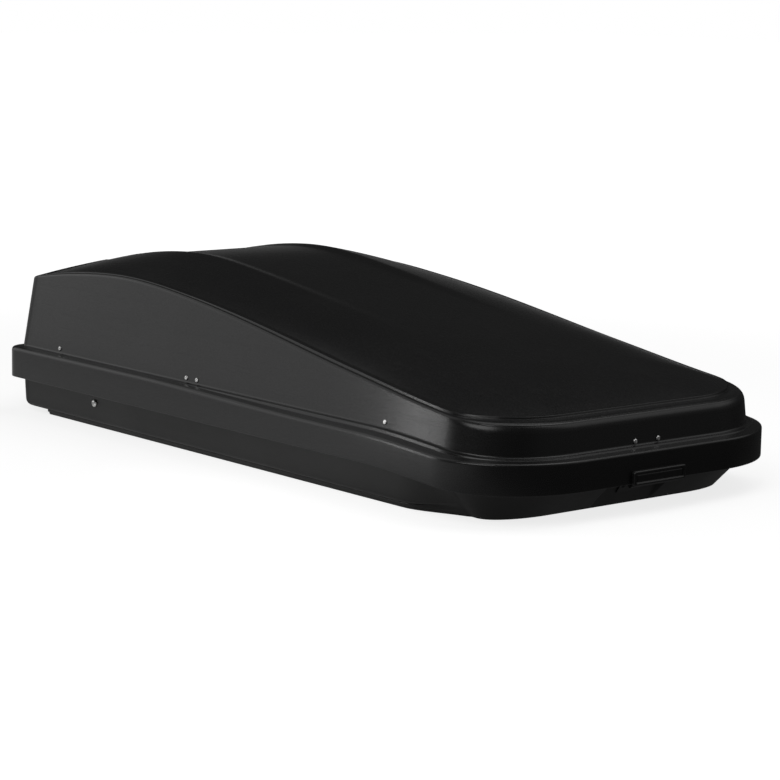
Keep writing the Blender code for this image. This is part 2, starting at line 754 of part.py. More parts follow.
def make_lid_leaf():
    """A bent strip down the inside of the nose, forward under the shelf and down to the pin."""
    skin = SHELL_THICKNESS + TOUCH_GAP
    top = nose_wall(0, HINGE_LEAF_TOP_Z, skin)[0]
    bend = nose_wall(0, RIM_SHOULDER_Z - NOSE_DIP + HINGE_LEAF_THICKNESS, skin)[0]
    turn_z = shelf_underside() - HINGE_LEAF_DROP + HINGE_LEAF_THICKNESS
    front_y = HINGE_Y - HINGE_KNUCKLE_RADIUS + TOUCH_GAP
    slope_y = NOSE_Y + RIM_SHOULDER_RADIUS - HINGE_KNUCKLE_RADIUS
    slope_z = RIM_SHOULDER_Z - NOSE_DIP - RIM_SHOULDER_RADIUS - SHELL_THICKNESS
    path = [(top.y, top.z), (bend.y, bend.z), (bend.y, turn_z), (slope_y, turn_z), (front_y, slope_z),
            (front_y, HINGE_Z)]
    mesh = flat_mesh("hinge_lid_leaf", [strip_outline(path, HINGE_LEAF_THICKNESS)], 2 * HINGE_HALF_WIDTH)
    leaf = add_piece("hinge_lid_leaf", mesh, ZINC, section_matrix(0))
    knuckle = cylinder_mesh("lid_knuckle", HINGE_KNUCKLE_RADIUS, -HINGE_HALF_WIDTH, HINGE_HALF_WIDTH)
    axis = along_matrix((0, HINGE_Y, HINGE_Z), (1, 0, 0))
    combine(leaf, add_cutter("lid_knuckle", knuckle, axis), "UNION")
    gap = HINGE_BASE_KNUCKLE_HALF + TOUCH_GAP
    reach = HINGE_KNUCKLE_RADIUS + CUTTER_MARGIN
    low, high = (-gap, NOSE_Y, HINGE_Z - reach), (gap, HINGE_Y + reach, HINGE_Z + reach)
    notch = box_mesh("lid_knuckle_notch", low, high)
    combine(leaf, add_cutter("lid_knuckle_notch", notch))
    bore_leaf(leaf, "lid_leaf_bore")
    return leaf


def bore_leaf(leaf, name):
    reach = HINGE_HALF_WIDTH + CUTTER_MARGIN
    bore = cylinder_mesh(name, HINGE_PIN_RADIUS + TOUCH_GAP, -reach, reach)
    combine(leaf, add_cutter(name, bore, along_matrix((0, HINGE_Y, HINGE_Z), (1, 0, 0))))


def recess_wall(z, gap=0.0):
    """A point on the back of the nose recess, stood off by a gap, and its outward normal."""
    rise = BOW_TOP_Z
    run = BOW_FOOT_INSET - (BASE_TOP_INSET + RECESS_DEPTH)
    normal = Vector((0, -rise, -run)).normalized()
    inset = blend(BOW_FOOT_INSET, BASE_TOP_INSET + RECESS_DEPTH, z / BOW_TOP_Z)
    return Vector((0, NOSE_Y + inset, z)) + normal * gap, normal


def make_base_leaf(base):
    """A strip from the pin back to the recess, bent down along its wall and held by two screws."""
    level = HINGE_Z - HINGE_KNUCKLE_RADIUS + HINGE_LEAF_THICKNESS
    corner, normal = recess_wall(level, TOUCH_GAP)
    down = Vector((0, -normal.z, normal.y))
    foot = corner + down * HINGE_BASE_LEAF_LENGTH
    path = [(foot.y, foot.z), (corner.y, corner.z), (HINGE_Y, corner.z)]
    outline = strip_outline(path, HINGE_LEAF_THICKNESS)
    mesh = flat_mesh("hinge_base_leaf", [outline], 2 * HINGE_BASE_KNUCKLE_HALF)
    leaf = add_piece("hinge_base_leaf", mesh, ZINC, section_matrix(0))
    knuckle = cylinder_mesh("base_knuckle", HINGE_KNUCKLE_RADIUS,
                            -HINGE_BASE_KNUCKLE_HALF, HINGE_BASE_KNUCKLE_HALF)
    axis = along_matrix((0, HINGE_Y, HINGE_Z), (1, 0, 0))
    combine(leaf, add_cutter("base_knuckle", knuckle, axis), "UNION")
    bore_leaf(leaf, "base_leaf_bore")
    middle = corner + down * HINGE_BASE_LEAF_LENGTH / 2 + normal * HINGE_LEAF_THICKNESS
    for side, sign in SIDES:
        origin = middle + Vector((sign * HINGE_SCREW_SPACING_HALF, 0, 0))
        rivet(f"hinge_screw_{side}", origin, normal, (leaf, base))
    return leaf


def make_hinge_pin():
    mesh = cylinder_mesh("hinge_pin", HINGE_PIN_RADIUS, -HINGE_HALF_WIDTH, HINGE_HALF_WIDTH)
    return add_piece("hinge_pin", mesh, ZINC, along_matrix((0, HINGE_Y, HINGE_Z), (1, 0, 0)))


def make_hinge_cover():
    """The raised block on the middle of the nose rim, with a shallow stepped face."""
    back = NOSE_Y - TOUCH_GAP
    mesh = box_mesh("nose_hinge_cover", (-COVER_HALF_WIDTH, back - COVER_THICKNESS, COVER_FOOT_Z),
                    (COVER_HALF_WIDTH, back, COVER_TOP_Z))
    cover = add_piece("nose_hinge_cover", mesh, BLACK_TRIM)
    bevelled(cover, COVER_BEVEL, 2)
    return cover


def make_nose_rivets(lid, leaf):
    for side, sign in SIDES:
        origin, normal = nose_wall(sign * NOSE_RIVET_HALF_SPACING, NOSE_RIVET_Z)
        rivet(f"nose_rivet_{side}", origin, normal, (lid, leaf))


# Stays: angles in the plane of the side, from +Y towards +Z

def stay_ends():
    """Foot of the stay on the tray and its top on the closed lid, in the side's plane."""
    return Vector((STAY_FOOT_Y, STAY_FOOT_Z)), Vector((STAY_TOP_Y, STAY_TOP_Z))


def stay_lengths():
    """Link lengths: nearly straight when the lid is open, and nearly folded flat when it is closed."""
    foot, top = stay_ends()
    hinge = Vector((HINGE_Y, HINGE_Z))
    opened = hinge + Matrix.Rotation(LID_OPENING, 2) @ (top - hinge)
    longest = (opened - foot).length + STAY_OPEN_SLACK
    shortest = (top - foot).length - STAY_CLOSED_SLACK
    return (longest + shortest) / 2, (longest - shortest) / 2


def stay_angles():
    """Closed directions of the lower link from its foot and of the upper link from its pivot on the lid."""
    foot, top = stay_ends()
    lower_length, upper_length = stay_lengths()
    reach = (top - foot).length
    heading = math.atan2(top.y - foot.y, top.x - foot.x)
    spread = math.acos((lower_length ** 2 + reach ** 2 - upper_length ** 2) / (2 * lower_length * reach))
    lower = heading + spread
    knee = foot + lower_length * Vector((math.cos(lower), math.sin(lower)))
    upper = math.atan2(knee.y - top.y, knee.x - top.x)
    return lower, upper


def link_mesh(name, length):
    """A flat bar with round ends and a hole at each pivot."""
    hole = STAY_PIN_RADIUS + HOLE_CLEARANCE
    outlines = [slot_outline((0, 0), (length, 0), STAY_HALF_WIDTH),
                circle_outline(hole, (0, 0), SMALL_SEGMENTS),
                circle_outline(hole, (length, 0), SMALL_SEGMENTS)]
    return flat_mesh(name, outlines, STAY_THICKNESS)


def pivot_matrix(x, y, z, angle):
    """Local Z across the box and local X at an angle in the side's plane."""
    cosine, sine = math.cos(angle), math.sin(angle)
    return axes_matrix((x, y, z), (0, cosine, sine), (0, -sine, cosine))


def headed_pin(name, x_head, x_end, y, z, finish, head_radius, head_height):
    """A pin along X whose head starts at one place and whose shank ends at another."""
    length = abs(x_end - x_head)
    direction = (x_head - x_end, 0, 0)
    chamfer = head_height * HEAD_CHAMFER_SHARE
    profile = [(0.0, head_height), (head_radius - chamfer, head_height),
               (head_radius, head_height - chamfer), (head_radius, 0.0),
               (STAY_PIN_RADIUS, 0.0), (STAY_PIN_RADIUS, -length), (0.0, -length)]
    return turned_piece(name, profile, finish, along_matrix((x_head, y, z), direction), SMALL_SEGMENTS)


def sleeve(name, radius, x_start, x_end, y, z, finish):
    """A ring along X around a pin."""
    length = abs(x_end - x_start)
    bore = STAY_PIN_RADIUS + HOLE_CLEARANCE
    profile = [(bore, length), (radius, length), (radius, 0.0), (bore, 0.0)]
    return turned_piece(name, profile, finish, along_matrix((x_start, y, z), (x_end - x_start, 0, 0)),
                        SMALL_SEGMENTS)


def make_stay(side, sign, lid, base):
    lower, upper = stay_angles()
    lower_length, upper_length = stay_lengths()
    outer_face = HALF_WIDTH - STAY_PLANE_INSET
    lower_middle = sign * (outer_face - STAY_THICKNESS / 2)
    upper_outer = outer_face - STAY_THICKNESS - TOUCH_GAP
    upper_middle = sign * (upper_outer - STAY_THICKNESS / 2)
    upper_inner = upper_outer - STAY_THICKNESS
    add_piece(f"stay_lower_link_{side}", link_mesh(f"stay_lower_link_{side}", lower_length), ZINC,
              pivot_matrix(lower_middle, STAY_FOOT_Y, STAY_FOOT_Z, lower))
    add_piece(f"stay_upper_link_{side}", link_mesh(f"stay_upper_link_{side}", upper_length), ZINC,
              pivot_matrix(upper_middle, STAY_TOP_Y, STAY_TOP_Z, upper))
    knee_y = STAY_FOOT_Y + lower_length * math.cos(lower)
    knee_z = STAY_FOOT_Z + lower_length * math.sin(lower)
    headed_pin(f"stay_knee_pin_{side}", sign * (outer_face + TOUCH_GAP), sign * (upper_outer + TOUCH_GAP),
               knee_y, knee_z, ZINC, STAY_PIN_HEAD_RADIUS, STAY_PIN_HEAD_HEIGHT)
    headed_pin(f"stay_knee_cap_{side}", sign * (upper_inner - TOUCH_GAP), sign * upper_outer,
               knee_y, knee_z, ZINC, STAY_PIN_HEAD_RADIUS, STAY_PIN_HEAD_HEIGHT)
    make_stay_foot(side, sign, base, outer_face)
    make_stay_bracket(side, sign, lid, upper_outer, upper_inner)


def make_stay_foot(side, sign, base, outer_face):
    """Screw through the tray's wall, a spacer, the lower link and a nut."""
    wall_outer = HALF_WIDTH - base_wall_inset(STAY_FOOT_Z + STAY_BOLT_HEAD_RADIUS)
    wall_inner = HALF_WIDTH - base_wall_inset(STAY_FOOT_Z - STAY_BOLT_HEAD_RADIUS) - SHELL_THICKNESS
    nut_start = outer_face - STAY_THICKNESS - TOUCH_GAP
    nut_end = nut_start - STAY_NUT_HEIGHT
    headed_pin(f"stay_screw_{side}", sign * (wall_outer + TOUCH_GAP), sign * nut_end, STAY_FOOT_Y,
               STAY_FOOT_Z, ZINC, STAY_BOLT_HEAD_RADIUS, STAY_BOLT_HEAD_HEIGHT)
    sleeve(f"stay_spacer_{side}", STAY_SPACER_RADIUS, sign * (wall_inner - TOUCH_GAP),
           sign * (outer_face + TOUCH_GAP), STAY_FOOT_Y, STAY_FOOT_Z, NYLON)
    nut_outlines = [circle_outline(STAY_NUT_RADIUS, segments=6),
                    circle_outline(STAY_PIN_RADIUS + HOLE_CLEARANCE)]
    nut_middle = sign * (nut_start + nut_end) / 2
    add_piece(f"stay_nut_{side}", flat_mesh(f"stay_nut_{side}", nut_outlines, STAY_NUT_HEIGHT), ZINC,
              pivot_matrix(nut_middle, STAY_FOOT_Y, STAY_FOOT_Z, 0))
    drill(base, f"stay_screw_{side}_hole", (sign * wall_outer, STAY_FOOT_Y, STAY_FOOT_Z), (sign, 0, 0),
          STAY_PIN_RADIUS + HOLE_CLEARANCE, SHELL_THICKNESS + CUTTER_MARGIN)


def wedge_mesh(name, z_low, z_high, inner_x, half_length):
    """A block that fills from the lid's leaning wall to a flat inner face, drawn for the left side."""
    low_outer = HALF_WIDTH - lid_side_inset_under(z_low) - TOUCH_GAP
    high_outer = HALF_WIDTH - lid_side_inset_under(z_high) - TOUCH_GAP
    outline = [(inner_x, z_low), (low_outer, z_low), (high_outer, z_high), (inner_x, z_high)]
    return flat_mesh(name, [outline], 2 * half_length)


def mirror_across(mesh):
    """Turns a left piece's mesh, drawn in its cross section, into the right one."""
    shape = bmesh.new()
    shape.from_mesh(mesh)
    bmesh.ops.scale(shape, vec=(-1, 1, 1), verts=shape.verts)
    bmesh.ops.reverse_faces(shape, faces=shape.faces)
    shape.to_mesh(mesh)
    shape.free()


def make_stay_bracket(side, sign, lid, upper_outer, upper_inner):
    """A moulded block on the lid's wall, two rivets through it and the upper link's pin in it."""
    name = f"stay_lid_bracket_{side}"
    low = STAY_TOP_Z - STAY_BRACKET_HALF_HEIGHT
    high = STAY_TOP_Z + STAY_BRACKET_HALF_HEIGHT
    mesh = wedge_mesh(name, low, high, upper_outer + TOUCH_GAP, STAY_BRACKET_HALF_LENGTH)
    if sign < 0:
        mirror_across(mesh)
    bracket = add_piece(name, mesh, NYLON, cross_matrix(STAY_TOP_Y))
    for place, offset in (("rear", STAY_RIVET_HALF_SPACING), ("front", -STAY_RIVET_HALF_SPACING)):
        origin, normal = lid_wall(sign, STAY_TOP_Y + offset, STAY_TOP_Z)
        rivet(f"stay_rivet_{place}_{side}", origin, normal, (lid, bracket))
    pin_end = sign * (upper_outer + 2 * STAY_THICKNESS)
    headed_pin(f"stay_upper_pin_{side}", sign * (upper_inner - TOUCH_GAP), pin_end, STAY_TOP_Y,
               STAY_TOP_Z, ZINC, STAY_PIN_HEAD_RADIUS, STAY_PIN_HEAD_HEIGHT)
    drill(bracket, f"stay_upper_pin_{side}_hole", (sign * upper_outer, STAY_TOP_Y, STAY_TOP_Z),
          (-sign, 0, 0), STAY_PIN_RADIUS + HOLE_CLEARANCE, 2 * STAY_THICKNESS + HOLE_CLEARANCE)


# Guides

def make_guide(place, y, side, sign, lid):
    """A moulded tongue on the lid's wall that drops inside the tray's wall."""
    name = f"lid_guide_{place}_{side}"
    tongue_outer = HALF_WIDTH - BASE_TOP_INSET - SHELL_THICKNESS - GUIDE_TRAY_CLEARANCE
    tongue_inner = tongue_outer - GUIDE_THICKNESS
    shoulder_x = HALF_WIDTH - lid_side_inset_under(GUIDE_SHOULDER_Z) - TOUCH_GAP
    top_x = HALF_WIDTH - lid_side_inset_under(GUIDE_TOP_Z) - TOUCH_GAP
    outline = [(tongue_inner, GUIDE_FOOT_Z), (tongue_outer, GUIDE_FOOT_Z),
               (tongue_outer, GUIDE_SHOULDER_Z - GUIDE_THICKNESS), (shoulder_x, GUIDE_SHOULDER_Z),
               (top_x, GUIDE_TOP_Z), (tongue_inner, GUIDE_TOP_Z)]
    mesh = flat_mesh(name, [outline], 2 * GUIDE_HALF_LENGTH)
    if sign < 0:
        mirror_across(mesh)
    guide = add_piece(name, mesh, NYLON, cross_matrix(y))
    origin, normal = lid_wall(sign, y, SIDE_RIVET_Z)
    rivet(f"{place}_rivet_{side}", origin, normal, (lid, guide))


# Rear lock

def make_lock(lid, base):
    face = REAR_Y + TOUCH_GAP
    outward = (0, 1, 0)
    bore = LOCK_PLUG_RADIUS + HOLE_CLEARANCE
    chamfer = LOCK_FLANGE_HEIGHT * HEAD_CHAMFER_SHARE
    profile = [(bore, LOCK_FLANGE_HEIGHT), (LOCK_FLANGE_RADIUS - chamfer, LOCK_FLANGE_HEIGHT),
               (LOCK_FLANGE_RADIUS, LOCK_FLANGE_HEIGHT - chamfer), (LOCK_FLANGE_RADIUS, 0.0),
               (LOCK_BARREL_RADIUS, 0.0), (LOCK_BARREL_RADIUS, -LOCK_BARREL_LENGTH),
               (bore, -LOCK_BARREL_LENGTH)]
    placed = along_matrix((0, face, LOCK_Z), outward)
    turned_piece("lock_barrel", profile, CHROME, placed, LOCK_SEGMENTS)
    plug_end = -LOCK_BARREL_LENGTH - TOUCH_GAP
    plug_start = LOCK_FLANGE_HEIGHT + LOCK_PLUG_STAND
    plug_mesh = cylinder_mesh("lock_plug", LOCK_PLUG_RADIUS, plug_end, plug_start, LOCK_SEGMENTS)
    plug = add_piece("lock_plug", plug_mesh, CHROME, placed)
    key_low = (-KEY_SLOT_HALF_WIDTH, face + plug_start - KEY_SLOT_DEPTH, LOCK_Z - KEY_SLOT_HALF_LENGTH)
    key_high = (KEY_SLOT_HALF_WIDTH, face + plug_start + CUTTER_MARGIN, LOCK_Z + KEY_SLOT_HALF_LENGTH)
    combine(plug, add_cutter("key_slot", box_mesh("key_slot", key_low, key_high)))
    drill(lid, "lock_hole", (0, REAR_Y, LOCK_Z), outward, LOCK_BARREL_RADIUS + HOLE_CLEARANCE,
          SHELL_THICKNESS + CUTTER_MARGIN)
    nut_y = REAR_Y - SHELL_THICKNESS - TOUCH_GAP
    bore = LOCK_BARREL_RADIUS + HOLE_CLEARANCE
    nut_profile = [(bore, 0.0), (LOCK_NUT_RADIUS, 0.0),
                   (LOCK_NUT_RADIUS, -LOCK_NUT_HEIGHT), (bore, -LOCK_NUT_HEIGHT)]
    turned_piece("lock_nut", nut_profile, ZINC, along_matrix((0, nut_y, LOCK_Z), outward), LOCK_SEGMENTS)
    make_cam(face + plug_end - TOUCH_GAP)
    make_catch(base)


def make_cam(y_end):
    """A flat arm that points down when unlocked and turns under the catch."""
    outline = slot_outline((0, 0), (0, -LOCK_CAM_LENGTH + LOCK_CAM_HALF_WIDTH), LOCK_CAM_HALF_WIDTH)
    mesh = flat_mesh("lock_cam", [outline], LOCK_CAM_THICKNESS)
    matrix = cross_matrix(y_end - LOCK_CAM_THICKNESS / 2) @ Matrix.Translation((0, LOCK_Z, 0))
    return add_piece("lock_cam", mesh, ZINC, matrix)


def make_catch(base):
    """An angle strip on the tray's rear wall, its lip just above the turned cam."""
    lip_z = LOCK_Z + LOCK_CAM_HALF_WIDTH + CATCH_CAM_CLEARANCE
    wall_y = REAR_Y - base_wall_inset(lip_z + HINGE_LEAF_THICKNESS) + TOUCH_GAP
    path = [(wall_y + CATCH_REACH, lip_z), (wall_y + HINGE_LEAF_THICKNESS, lip_z),
            (wall_y + HINGE_LEAF_THICKNESS, CATCH_FOOT_Z)]
    outline = strip_outline(path[::-1], HINGE_LEAF_THICKNESS)
    middle = (CATCH_START + CATCH_END) / 2
    mesh = flat_mesh("lock_catch", [outline], CATCH_END - CATCH_START)
    catch = add_piece("lock_catch", mesh, ZINC, section_matrix(middle))
    rivet_place = (CATCH_END - CATCH_RIVET_FROM_END, wall_y + HINGE_LEAF_THICKNESS, CATCH_RIVET_Z)
    rivet("catch_rivet", rivet_place, (0, 1, 0), (catch, base))
    notch = box_mesh("lock_notch", (-LOCK_NOTCH_HALF_WIDTH, REAR_Y - BASE_TOP_INSET + TOUCH_GAP, LOCK_Z),
                     (LOCK_NOTCH_HALF_WIDTH, REAR_Y, RIM_SHOULDER_Z))
    combine(base, add_cutter("lock_notch", notch))
    return catch


# Floor bars and slots

def make_floor_bar(place, from_nose, base):
    """A pressed channel across the floor, with a slot for a clamp's leg on each side of it."""
    y = NOSE_Y + from_nose
    foot = SHELL_THICKNESS + TOUCH_GAP
    half = BAR_WIDTH / 2
    inner = half - BAR_THICKNESS
    top = foot + BAR_HEIGHT
    roof = top - BAR_THICKNESS
    outline = [(y - half, foot), (y - inner, foot), (y - inner, roof), (y + inner, roof), (y + inner, foot),
               (y + half, foot), (y + half, top), (y - half, top)]
    mesh = flat_mesh(f"floor_bar_{place}", [outline], 2 * BAR_HALF_LENGTH)
    add_piece(f"floor_bar_{place}", mesh, ZINC, section_matrix(0))
    for side, sign in SIDES:
        for edge, offset in (("rear", half + SLOT_FROM_BAR), ("front", -half - SLOT_FROM_BAR)):
            start = sign * SLOT_FROM_MIDDLE - SLOT_HALF_LENGTH
            line = y + offset
            slot = slot_outline((start, line), (start + 2 * SLOT_HALF_LENGTH, line), SLOT_HALF_WIDTH, 3)
            name = f"slot_{place}_{edge}_{side}"
            cutter = add_cutter(name, flat_mesh(name, [slot], 4 * SHELL_THICKNESS))
            combine(base, cutter)


def build():
    lid = make_lid()
    base = make_base()
    leaf = make_lid_leaf()
    make_base_leaf(base)
    make_hinge_pin()
    make_hinge_cover()
    make_nose_rivets(lid, leaf)
    for side, sign in SIDES:
        make_stay(side, sign, lid, base)
        make_guide("rear", REAR_Y - GUIDE_REAR_FROM_REAR, side, sign, lid)
        make_guide("front", NOSE_Y + GUIDE_FRONT_FROM_NOSE, side, sign, lid)
    make_lock(lid, base)
    make_floor_bar("rear", BAR_REAR_FROM_NOSE, base)
    make_floor_bar("front", BAR_FRONT_FROM_NOSE, base)


clear_scene()
PARTS = new_collection("roof_box")
CUTTERS = new_collection("cutters")
build()
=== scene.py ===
# %% [markdown]
# # A car's roof box in black formed plastic
# The real box is two sheets of black plastic, heated and drawn over moulds: a tall lid with a rim all
# round, and a shallow tray below it. A hinge holds them at the nose and a cam lock at the rear. The CAD
# model already says where every piece is and how it moves, so this lesson only dresses it: finer meshes
# for the two shells and the small hardware, then finishes, a floor, soft lamps and a camera.

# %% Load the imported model
import math

import bmesh
import bpy
import numpy as np
from mathutils import Matrix, Vector


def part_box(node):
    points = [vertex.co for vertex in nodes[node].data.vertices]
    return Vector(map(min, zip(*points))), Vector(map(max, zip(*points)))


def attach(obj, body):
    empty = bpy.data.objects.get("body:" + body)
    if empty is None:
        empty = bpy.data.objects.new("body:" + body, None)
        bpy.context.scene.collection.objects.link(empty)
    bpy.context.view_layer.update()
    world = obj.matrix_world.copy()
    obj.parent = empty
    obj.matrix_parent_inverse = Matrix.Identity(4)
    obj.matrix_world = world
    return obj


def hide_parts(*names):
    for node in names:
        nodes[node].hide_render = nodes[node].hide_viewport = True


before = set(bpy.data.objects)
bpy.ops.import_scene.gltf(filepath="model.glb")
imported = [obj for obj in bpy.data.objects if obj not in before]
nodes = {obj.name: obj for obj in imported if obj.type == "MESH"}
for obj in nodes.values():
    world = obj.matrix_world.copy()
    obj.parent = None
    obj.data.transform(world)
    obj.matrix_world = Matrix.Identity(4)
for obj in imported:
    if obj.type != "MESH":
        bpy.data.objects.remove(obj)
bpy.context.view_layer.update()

# %% [markdown]
# ## The camera
# A long lens far away keeps the box's sides almost parallel, as in a catalogue picture. Placing the
# camera by compass angle, height angle, distance and the point it looks at is easier to tune than a
# position and three turns, and a small roll levels the picture.

# %% Camera
CAMERA_AZIMUTH = math.radians(-40.23)
CAMERA_ELEVATION = math.radians(9.30)
CAMERA_ROLL = math.radians(1.093)
CAMERA_DISTANCE = 5.1878
CAMERA_TARGET = Vector((0.0342, 0.0, 0.1134))
CAMERA_LENS = 115.78
CAMERA_REACH = 100


def camera_matrix():
    turn, rise, roll = CAMERA_AZIMUTH, CAMERA_ELEVATION, CAMERA_ROLL
    level = Vector((math.cos(turn), math.sin(turn), 0))
    upright = Vector((-math.sin(turn) * math.sin(rise), math.cos(turn) * math.sin(rise), math.cos(rise)))
    right = level * math.cos(roll) + upright * math.sin(roll)
    up = upright * math.cos(roll) - level * math.sin(roll)
    back = right.cross(up)
    matrix = Matrix((right, up, back)).transposed().to_4x4()
    matrix.translation = CAMERA_TARGET + back * CAMERA_DISTANCE
    return matrix


scene = bpy.context.scene
camera = bpy.data.objects.new("camera", bpy.data.cameras.new("camera"))
camera.data.lens = CAMERA_LENS
camera.data.clip_end = CAMERA_REACH
camera.matrix_world = camera_matrix()
scene.collection.objects.link(camera)
scene.camera = camera
print("camera at", [round(v, 3) for v in camera.location])

# %% [markdown]
# ## Sizes shared by both shells
# The lid's rim and the tray follow one outline, and every ring of both meshes is that outline moved
# inward. So the outline comes first. Its length and width come from the box of the lid's CAD node, and
# the corners are a little tighter at the rear than the CAD's, as in the photograph. Arrays are used
# because the meshes are fine: one call makes a whole ring.

# %% Outline sizes
lid_low, lid_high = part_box("lid_shell")
NOSE_Y, REAR_Y = lid_low.y, lid_high.y
HALF_WIDTH = lid_high.x
NOSE_FLAT_HALF = 0.180
NOSE_CORNER_LENGTH = 0.173
NOSE_CORNER_PULL_FRONT = 0.50
NOSE_CORNER_PULL_SIDE = 0.615
REAR_CORNER_RADIUS = 0.042
REAR_CORNER_LEAST = 0.014
REAR_GATHER_START = 0.60
CORNER_STEPS = 48
SIDE_STEPS = 84
REAR_CORNER_STEPS = 18
REAR_STEPS = 14
# The nose has closer points where the recess in the tray begins.
NOSE_PLACES = np.concatenate([np.linspace(0, 0.060, 6), np.linspace(0.066, 0.096, 11),
                              np.linspace(0.106, NOSE_FLAT_HALF, 6)])


def smooth_step(share):
    share = np.clip(share, 0.0, 1.0)
    return share * share * (3 - 2 * share)


def blend(first, second, share):
    return first + (second - first) * share


def half_outline():
    """Half of the outline, on the side of low x, from the middle of the nose to the middle of the rear."""
    points = [(-x, NOSE_Y) for x in NOSE_PLACES]
    start = np.array((-NOSE_FLAT_HALF, NOSE_Y))
    end = np.array((-HALF_WIDTH, NOSE_Y + NOSE_CORNER_LENGTH))
    front_handle = start - (NOSE_CORNER_PULL_FRONT * (HALF_WIDTH - NOSE_FLAT_HALF), 0)
    side_handle = end - (0, NOSE_CORNER_PULL_SIDE * NOSE_CORNER_LENGTH)
    for t in np.linspace(0, 1, CORNER_STEPS + 1)[1:]:
        points.append(tuple((1 - t) ** 3 * start + 3 * (1 - t) ** 2 * t * front_handle
                            + 3 * (1 - t) * t ** 2 * side_handle + t ** 3 * end))
    side_end = REAR_Y - REAR_CORNER_RADIUS
    points += [(-HALF_WIDTH, y) for y in np.linspace(end[1], side_end, SIDE_STEPS + 1)[1:]]
    middle = (-HALF_WIDTH + REAR_CORNER_RADIUS, side_end)
    for angle in np.linspace(math.pi, math.pi / 2, REAR_CORNER_STEPS + 1)[1:]:
        points.append((middle[0] + REAR_CORNER_RADIUS * math.cos(angle),
                       middle[1] + REAR_CORNER_RADIUS * math.sin(angle)))
    points += [(x, REAR_Y) for x in np.linspace(middle[0], 0, REAR_STEPS + 1)[1:]]
    return points


def outline_and_inward():
    half = half_outline()
    points = np.array(half + [(-x, y) for x, y in reversed(half[1:-1])])

    def heading(step):
        return step / np.linalg.norm(step, axis=1, keepdims=True)

    arriving = heading(points - np.roll(points, 1, axis=0))
    leaving = heading(np.roll(points, -1, axis=0) - points)
    tangent = heading(arriving + leaving)
    return points, np.stack([tangent[:, 1], -tangent[:, 0]], axis=1)


OUTLINE, INWARD = outline_and_inward()
ALONG = OUTLINE[:, 1]
print("outline points", len(OUTLINE))

# %% [markdown]
# ## A section with rounded corners
# Formed sheet has no sharp corners: every bend has a radius, and in the photograph those radii are the
# thin bright and dark lines. So a section is written as a few corner points, each with a radius, and
# one helper rounds them all. It works on arrays, so each corner can move as the section travels round
# the outline, and the number of points stays the same at every place.

# %% Rounded sections
# The share of the shorter neighbouring length that a rounding may take up.
FILLET_ROOM = 0.49
BIG_FILLET_ROOM = 0.90
STRAIGHTEST = 0.99999
NEAR = 1e-6
WELD_DISTANCE = 0.00002
SHARP_ANGLE = 40


def fillet(before, corner, after, radius, steps, fillet_room):
    """Points of an arc that rounds one corner of a section, for every place on the outline at once."""
    to_before, to_after = before - corner, after - corner
    reach_before = np.linalg.norm(to_before, axis=1)
    reach_after = np.linalg.norm(to_after, axis=1)
    to_before = to_before / reach_before[:, None]
    to_after = to_after / reach_after[:, None]
    angle = np.arccos(np.clip((to_before * to_after).sum(axis=1), -STRAIGHTEST, STRAIGHTEST))
    room = fillet_room * np.minimum(reach_before, reach_after)
    tangent = np.minimum(radius / np.tan(angle / 2), room)[:, None]
    start, end = corner + to_before * tangent, corner + to_after * tangent
    return [blend(blend(start, corner, share), blend(corner, end, share), share)
            for share in np.linspace(0, 1, steps + 1)]


def section(corners, steps=6, big=None):
    """(inset, height, radius) corners turned into rows of points, rounded at every inner corner. The corner
    whose number is big may use more of the length beside it."""
    count = len(OUTLINE)
    places = []
    for inset, height, _ in corners:
        pair = [np.broadcast_to(inset, count), np.broadcast_to(height, count)]
        places.append(np.stack(pair, axis=1).astype(float))
    rows = [places[0]]
    for index in range(1, len(corners) - 1):
        radius = np.broadcast_to(corners[index][2], count)
        if np.max(radius) > 0:
            room = BIG_FILLET_ROOM if index == big else FILLET_ROOM
            rows += fillet(places[index - 1], places[index], places[index + 1], radius, steps, room)
        else:
            rows.append(places[index])
    rows.append(places[-1])
    return rows


def moved_inward(inset):
    """The outline moved inward. At the rear corners the radius shrinks to a least value and no further, so
    deep rings don't fold over themselves."""
    flat = OUTLINE + INWARD * inset[:, None]
    radius = np.maximum(REAR_CORNER_RADIUS - inset, REAR_CORNER_LEAST)
    middle_x = HALF_WIDTH - inset - radius
    middle_y = REAR_Y - inset - radius
    side_end = REAR_Y - REAR_CORNER_RADIUS
    side = np.sign(OUTLINE[:, 0])
    on_side = (ALONG > REAR_GATHER_START) & (ALONG <= side_end + NEAR)
    past_start = ALONG - REAR_GATHER_START
    shortened = (middle_y - REAR_GATHER_START) / (side_end - REAR_GATHER_START)
    gathered = REAR_GATHER_START + past_start * shortened
    flat[:, 1] = np.where(on_side, gathered, flat[:, 1])
    on_corner = ALONG > side_end + NEAR
    outer_x = HALF_WIDTH - REAR_CORNER_RADIUS
    on_rear = on_corner & (np.abs(OUTLINE[:, 0]) <= outer_x + NEAR)
    across = np.where(on_rear, 0.0, (np.abs(OUTLINE[:, 0]) - outer_x) / REAR_CORNER_RADIUS)
    upward = (ALONG - side_end) / REAR_CORNER_RADIUS
    corner = np.stack([side * (middle_x + radius * across), middle_y + radius * upward], axis=1)
    flat = np.where((on_corner & ~on_rear)[:, None], corner, flat)
    flat[:, 0] = np.where(on_rear, OUTLINE[:, 0] * middle_x / outer_x, flat[:, 0])
    return flat


def ring_of(row):
    """A ring in space from the insets and heights of one row of a section."""
    return np.concatenate([moved_inward(row[:, 0]), row[:, 1:2]], axis=1)


def close_band(shape, lower, upper):
    """Faces between two closed rings of equal count."""
    for index in range(len(lower)):
        after = (index + 1) % len(lower)
        shape.faces.new((lower[index], lower[after], upper[after], upper[index]))


